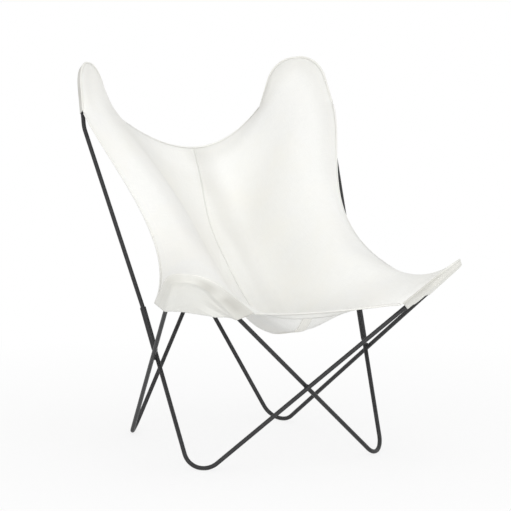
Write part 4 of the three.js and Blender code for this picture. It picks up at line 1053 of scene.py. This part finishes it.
lobe_columns = COLUMNS * LOBE_INTERVALS // CROSS_INTERVALS + 1
lobe_rows = math.ceil(ROWS * LOBE_INTERVALS / SIDE_INTERVALS) + 1
across = range(lobe_columns, COLUMNS - lobe_columns + 1)
along = range(lobe_rows, ROWS - lobe_rows + 1)
# The last value is the strength of each hem's painted shadow line: strong at the front, faint elsewhere.
hem_object("turned_hem_back", [(grid[:, i], normals[:, i]) for i in across], "hem_back", 0.25)
hem_object("turned_hem_front", [(grid[::-1, i], normals[::-1, i]) for i in across], "hem_front", 0.9)
hem_object("turned_hem_left", [(grid[j], normals[j]) for j in along], "hem_left", 0.2)
hem_object("turned_hem_right", [(grid[j, ::-1], normals[j, ::-1]) for j in along], "hem_right", 0.2)


def tape_object():
    """Tape behind the middle seam, sewn down along both its edges: the rows of the sling between the hems,
    cut off at the tape's width and set back behind the cloth."""
    depth = CLOTH / 2 + TAPE_CLEARANCE + HEM_CLOTH / 2
    widths = np.linspace(-TAPE_WIDTH / 2, TAPE_WIDTH / 2, TAPE_POINTS)
    rows = np.arange(TAPE_ENDS, ROWS + 1 - TAPE_ENDS)
    places, facing = (
        np.array([[np.interp(widths, cloth_x[j], part) for part in values[j].T] for j in rows]).swapaxes(1, 2)
        for values in (grid, normals)
    )
    facing = unit(facing)
    run, across = np.meshgrid(cloth_y[rows, half], widths, indexing="ij")
    marks = {"seam_mm": np.abs(across), "run_mm": run}
    back = places - facing * depth
    obj = strip_object("seam_tape", back, facing, np.stack([across, run], axis=-1), marks, HEM_CLOTH)
    place_piece(obj, tape_cloth, "seam_tape", "sling_seam_tape")


tape_object()

POCKET_CLOTH = 1.2
POCKET_CLEARANCE = 0.5
ARC_STATIONS = 30
WRAP_STEPS = 9
FLAT_STEPS = 22
# Points of a pocket's section, counted from its end on top of the cloth: the outermost one of the roll
# round the edge, after RIM_RUN millimetres, the first one on the rod, and the one below the rod.
RIM_POINT, ON_ROD = 4, 9
BELOW_ROD = ON_ROD + WRAP_STEPS
RIM_RUN = 3.4
# Creases behind the rods: start and end in half mouths across and pocket depths down from the tip, height
# at the slack of a front pocket, and width, both in millimetres.
FRONT_SLACK = 3.6
BACK_SLACK = 1.0
POCKET_CREASES = (
    ((-0.80, 0.90), (-0.22, 0.42), 2.4, 3.2),
    ((-0.66, 0.97), (-0.02, 0.56), -2.2, 3.6),
    ((-0.40, 1.00), (0.16, 0.72), 1.9, 4.0),
    ((0.72, 0.96), (0.30, 0.55), 1.6, 4.5),
)


def crease_line(over, down, start, end, width):
    """A crease from start to end, 1 along its line: a hump of the distance off the line that is narrowest at
    its start, times smooth steps that begin it there and fade it out towards its end."""
    start, end = np.array(start), np.array(end)
    way = end - start
    length = np.hypot(*way)
    way = way / length
    over, down = over - start[0], down - start[1]
    along, off = over * way[0] + down * way[1], down * way[0] - over * way[1]
    share = np.clip(along / length, 0, 1)
    lasting = smooth_step(along, -12, 2) * (1 - smooth_step(share, 0.35, 1))
    return hump(off, 0, width * (1 + 1.2 * share)) * lasting


def wrap_section(overhang, rise, behind):
    """Section of a pocket's cloth round a rod, as (outward, upward) from the rod's axis.

    It starts on top of the sling's edge, rolls round that edge in a circle, runs straight to the tangent of
    the circle at the distance behind round the rod, and follows that circle to the point below the rod."""
    roll = np.radians(ROLL_ANGLES[:0:-1])
    start = np.array([overhang - ROLL_INSET, rise - EDGE_ROLL])
    tangent = math.atan2(start[1], start[0]) - math.acos(min(behind / math.hypot(*start), 1))
    touch = behind * np.array([math.cos(tangent), math.sin(tangent)])
    wrap = np.linspace(tangent, -math.pi / 2, WRAP_STEPS + 1)
    return np.vstack([
        [overhang - TOP_END, rise + EDGE_ROLL - TOP_SINK],
        [overhang - ROLL_INSET, rise] + EDGE_ROLL * np.stack([np.cos(roll), np.sin(roll)], axis=-1),
        [start, (start + touch) / 2],
        behind * np.stack([np.cos(wrap), np.sin(wrap)], axis=-1),
    ])


def pocket_lift(places, tip, slack):
    """How far the cloth behind the rods is drawn up towards the sheet: the slack and a slow wave, faded in
    from the rod, less the creases."""
    local = places - tip["apex"]
    over, down = local @ tip["across"], -local @ tip["axis"]
    half_mouth, mouth_depth = np.abs(over[0, BELOW_ROD]), tip["outline"]["depth"]
    from_rod = np.linalg.norm(places - places[:, BELOW_ROD][:, None], axis=2)
    wave = np.cos(2.6 * over / half_mouth + 4.2 * down / mouth_depth)
    lift = slack * (smooth_step(from_rod, 0, 16) + 0.36 * smooth_step(from_rod, 10, 45) * wave)
    for start, end, height, width in POCKET_CREASES:
        ends = [(p[0] * half_mouth, p[1] * mouth_depth) for p in (start, end)]
        crease = crease_line(over, down, *ends, width) * smooth_step(from_rod, 0, 9)
        lift -= height * slack / FRONT_SLACK * crease
    lift[:, :BELOW_ROD + 1] = 0
    return lift


def pocket_painted_shade(sides, shares, steps, edge_mm, shade_by_side, fold_drift):
    """Painted shade on a pocket, 0 to 1, by the side and the share from tip to mouth of its sections and
    the run along each.

    Where the cloth is tight round the rod it has the shade value of that side, in two blotches along a
    line that drifts off the rod towards the mouth, and a wash behind it. The rim of the inner side has a
    painted shadow line by the rim value, and the roll round the edge is faintly shaded all along."""
    from_rod = steps - steps[:, BELOW_ROD][:, None]
    even = (shade_by_side[-1] + shade_by_side[1]) / 2
    strength = even + (np.where(sides < 0, shade_by_side[-1], shade_by_side[1]) - even) * smooth_step(shares, 0, 0.22)
    blotches = 0.6 - 0.4 * np.cos(4 * math.pi * smooth_step(shares, -0.1, 1.04))
    folded = hump(from_rod, -8 - fold_drift * smooth_step(shares, 0.45, 0.75), 10.0) * blotches
    folded += 0.3 * smooth_step(shares, 0.3, 0.7) * (1 - smooth_step(from_rod, 8, 50))
    rim = shade_by_side["rim"] * (sides < 0) * smooth_step(shares, 0.15, 0.45) * hump(edge_mm, 2.0, 2.2)
    roll = 0.22 * smooth_step(steps, 3, 9) * (1 - smooth_step(from_rod, -6, 4))
    return np.clip(strength * folded + roll + rim, 0, 1)


def pocket_object(name, tip, slack, shade_by_side, fold_drift):
    """Back layer of a corner: rolled over the cloth's edge, tight round the rod, and loose behind it.

    Its two halves run from the sides of the mouth to the tip and share the points of the middle line. Each
    section goes round the rod and then straight to that line, and is lifted by the slack behind the rods."""
    behind = ROD_RADIUS + POCKET_CLEARANCE + POCKET_CLOTH / 2
    arc_share = tip["radius"] * tip["turn"] / tip["length"]
    shares = np.linspace(0, arc_share, ARC_STATIONS + 1)
    shares = np.concatenate([shares, np.linspace(arc_share, 1, ARC_STATIONS + 1)[1:]])
    stations = [(-1, share) for share in shares[:0:-1]] + [(1, share) for share in shares]
    to_middle = (np.arange(1, FLAT_STEPS + 1) / FLAT_STEPS)[:, None]
    sections = []
    for side, share in stations:
        s = lobe_station(tip, side, share)
        section = wrap_section(s["overhang"], s["rise"], behind)
        wrap = s["rod"] + section[:, :1] * s["outward"] + section[:, 1:] * tip["normal"]
        depth = tip["radius"] + (tip["outline"]["depth"] - tip["radius"]) * s["beyond"]
        middle = tip["apex"] - tip["axis"] * depth - tip["normal"] * behind
        sections.append(np.vstack([wrap, wrap[-1] + (middle - wrap[-1]) * to_middle]))
    places = np.array(sections)
    count, width = places.shape[:2]
    steps = run_lengths(places, 1)
    run = np.repeat(walked(places[:, RIM_POINT])[:, None], width, axis=1)
    edge_mm = np.abs(steps - RIM_RUN)
    places = places + tip["normal"] * pocket_lift(places, tip, slack)[:, :, None]
    index = np.arange(count * width).reshape(count, width)
    middle_station = (count - 1) // 2
    index[:middle_station, -1] = index[:middle_station:-1, -1]
    faces = index.ravel()[grid_faces(count, width)]
    points = places.reshape(-1, 3)
    if point_normals(points, faces).sum(axis=0) @ tip["normal"] > 0:
        faces = faces[:, ::-1]
    sides, shares = np.array(stations).T[:, :, None]
    # Painted shade of the pocket: darker round the rod, along the inner rim and on the roll.
    soil = pocket_painted_shade(sides, shares, steps, edge_mm, shade_by_side, fold_drift)
    marks = {"edge_mm": edge_mm, "run_mm": run, "soil": soil}
    uv_rows = np.stack([steps, run], axis=-1)
    obj = shell_object(f"pocket_cloth_{name}", points, faces, POCKET_CLOTH, uv_rows, marks)
    place_piece(obj, pocket_cloth, "pocket_canvas", f"pocket_{name}")


BACK_FLAT = {"flat": (0.235, 0.15), "area": 0.0215}
FRONT_FLAT = {"flat": (0.235, 0.17), "area": 0.0265}
# How much shade is painted on each pocket, by its side and along its rim, and how far that painted shade drifts
# off the front rods.
BACK_SHADE = {-1: 0.3, 1: 0.5, "rim": 0.0}
FRONT_LEFT_SHADE = {-1: 0.95, 1: 0.15, "rim": 0.5}
FRONT_RIGHT_SHADE = {-1: 0.3, 1: 0.2, "rim": 0.9}
FRONT_DRIFT = 13.0
for name, tip, hoop_name, slack, shade_by_side, fold_drift, flat_size in (
    ("back_left", back_left, "hoop_left", BACK_SLACK, BACK_SHADE, 0.0, BACK_FLAT),
    ("back_right", back_right, "hoop_right", BACK_SLACK, BACK_SHADE, 0.0, BACK_FLAT),
    ("front_left", front_left, "rod_right", FRONT_SLACK, FRONT_LEFT_SHADE, FRONT_DRIFT, FRONT_FLAT),
    ("front_right", front_right, "rod_left", FRONT_SLACK, FRONT_RIGHT_SHADE, FRONT_DRIFT, FRONT_FLAT),
):
    pocket_object(name, tip, slack, shade_by_side, fold_drift)

# Floor, light and camera.
FLOOR_HALF = 30.0
AMBIENT = 0.78
WHITE, PAINT = (1.0, 1.0, 1.0, 1.0), (0.86, 0.86, 0.86, 1.0)
corners = [(x * FLOOR_HALF, y * FLOOR_HALF, 0) for x, y in ((-1, -1), (1, -1), (1, 1), (-1, 1))]
floor_mesh = bpy.data.meshes.new("floor")
floor_mesh.from_pydata(corners, [], [(0, 1, 2, 3)])
floor = bpy.data.objects.new("floor", floor_mesh)
bpy.context.scene.collection.objects.link(floor)
# Matt white paint. The camera sees most of it as plain white, so that only a faint shadow is left near the
# chair, by the distance from its middle; all other rays see the paint.
material, tree = new_material("floor_white")
ray = add_node(tree, "LightPath")[0]
place = add_node(tree, "TexCoord", output="Object")
seen = add_node(tree, "Math", [(ray, "Is Camera Ray"), (ray, "Is Glossy Ray")], operation="MAXIMUM")
distance = add_node(tree, "VectorMath", [place], 1, operation="LENGTH")
plain = add_node(tree, "MapRange", [distance, 0.4, 1.6, 0.82, 1.0])
share = add_node(tree, "Math", [seen, plain], operation="MULTIPLY")
paint = add_node(tree, "BsdfDiffuse", [PAINT])
white = add_node(tree, "Emission", [WHITE, 1.0])
add_node(tree, "OutputMaterial", [add_node(tree, "MixShader", [share, paint, white])])
floor_mesh.materials.append(material)

# The world is white to the camera and to reflections, and a little darker as a light.
world = bpy.data.worlds.new("studio")
world.use_nodes = True
bpy.context.scene.world = world
tree = world.node_tree
tree.nodes.clear()
ray = add_node(tree, "LightPath")[0]
seen = add_node(tree, "Math", [(ray, "Is Glossy Ray"), (ray, "Is Transmission Ray")], operation="MAXIMUM")
seen = add_node(tree, "Math", [(ray, "Is Camera Ray"), seen], operation="MAXIMUM")
strength = add_node(tree, "MapRange", [seen, 0.0, 1.0, AMBIENT, 1.0])
add_node(tree, "OutputWorld", [add_node(tree, "Background", [WHITE, strength])])


def aim(obj, back, right, place):
    """Puts a lamp or camera at a place, facing away from back, with its right side as near right as that
    leaves it."""
    back = unit(back)
    right = unit(right - back * (right @ back))
    axes = np.stack([right, np.cross(back, right), back, place], axis=-1)
    obj.matrix_world = Matrix([*axes.tolist(), [0, 0, 0, 1]])
    bpy.context.scene.collection.objects.link(obj)


def lamp(name, place, target, size, power):
    """A square soft light that faces a point."""
    data = bpy.data.lights.new(name, "AREA")
    data.size = size
    data.energy = power
    back = unit(np.array(place) - target)
    aim(bpy.data.objects.new(name, data), back, np.cross(UPWARD, back), place)


lamp("key", (-3.3, -3.2, 3.2), (0, 0, 0.5), 1.8, 26.0)
lamp("top", (0.3, -1.0, 3.6), (0, -0.1, 0.4), 2.0, 11.0)
lamp("fill", (-0.8, -4.6, 0.2), (0, 0, 0.4), 2.0, 106.0)

# The camera of the photograph: its place in millimetres, its axes, and its focal length and width in pixels.
CAMERA_PLACE = np.array([-2854.4, -6134.9, 1368.3])
CAMERA_RIGHT = np.array([0.90553, -0.42425, 0.00399])
CAMERA_BACK = np.array([-0.42086, -0.89703, 0.13497])
FOCAL_PIXELS = 2907.35
IMAGE_PIXELS = 511
SENSOR = 36.0
camera_data = bpy.data.cameras.new("camera")
camera_data.sensor_fit = "HORIZONTAL"
camera_data.sensor_width = SENSOR
camera_data.lens = SENSOR * FOCAL_PIXELS / IMAGE_PIXELS
camera_data.clip_end = 200.0
camera = bpy.data.objects.new("camera", camera_data)
aim(camera, CAMERA_BACK, CAMERA_RIGHT, (CAMERA_PLACE + OFFSET) * METRES)
bpy.context.scene.camera = camera
bpy.context.scene.view_settings.view_transform = "Standard"
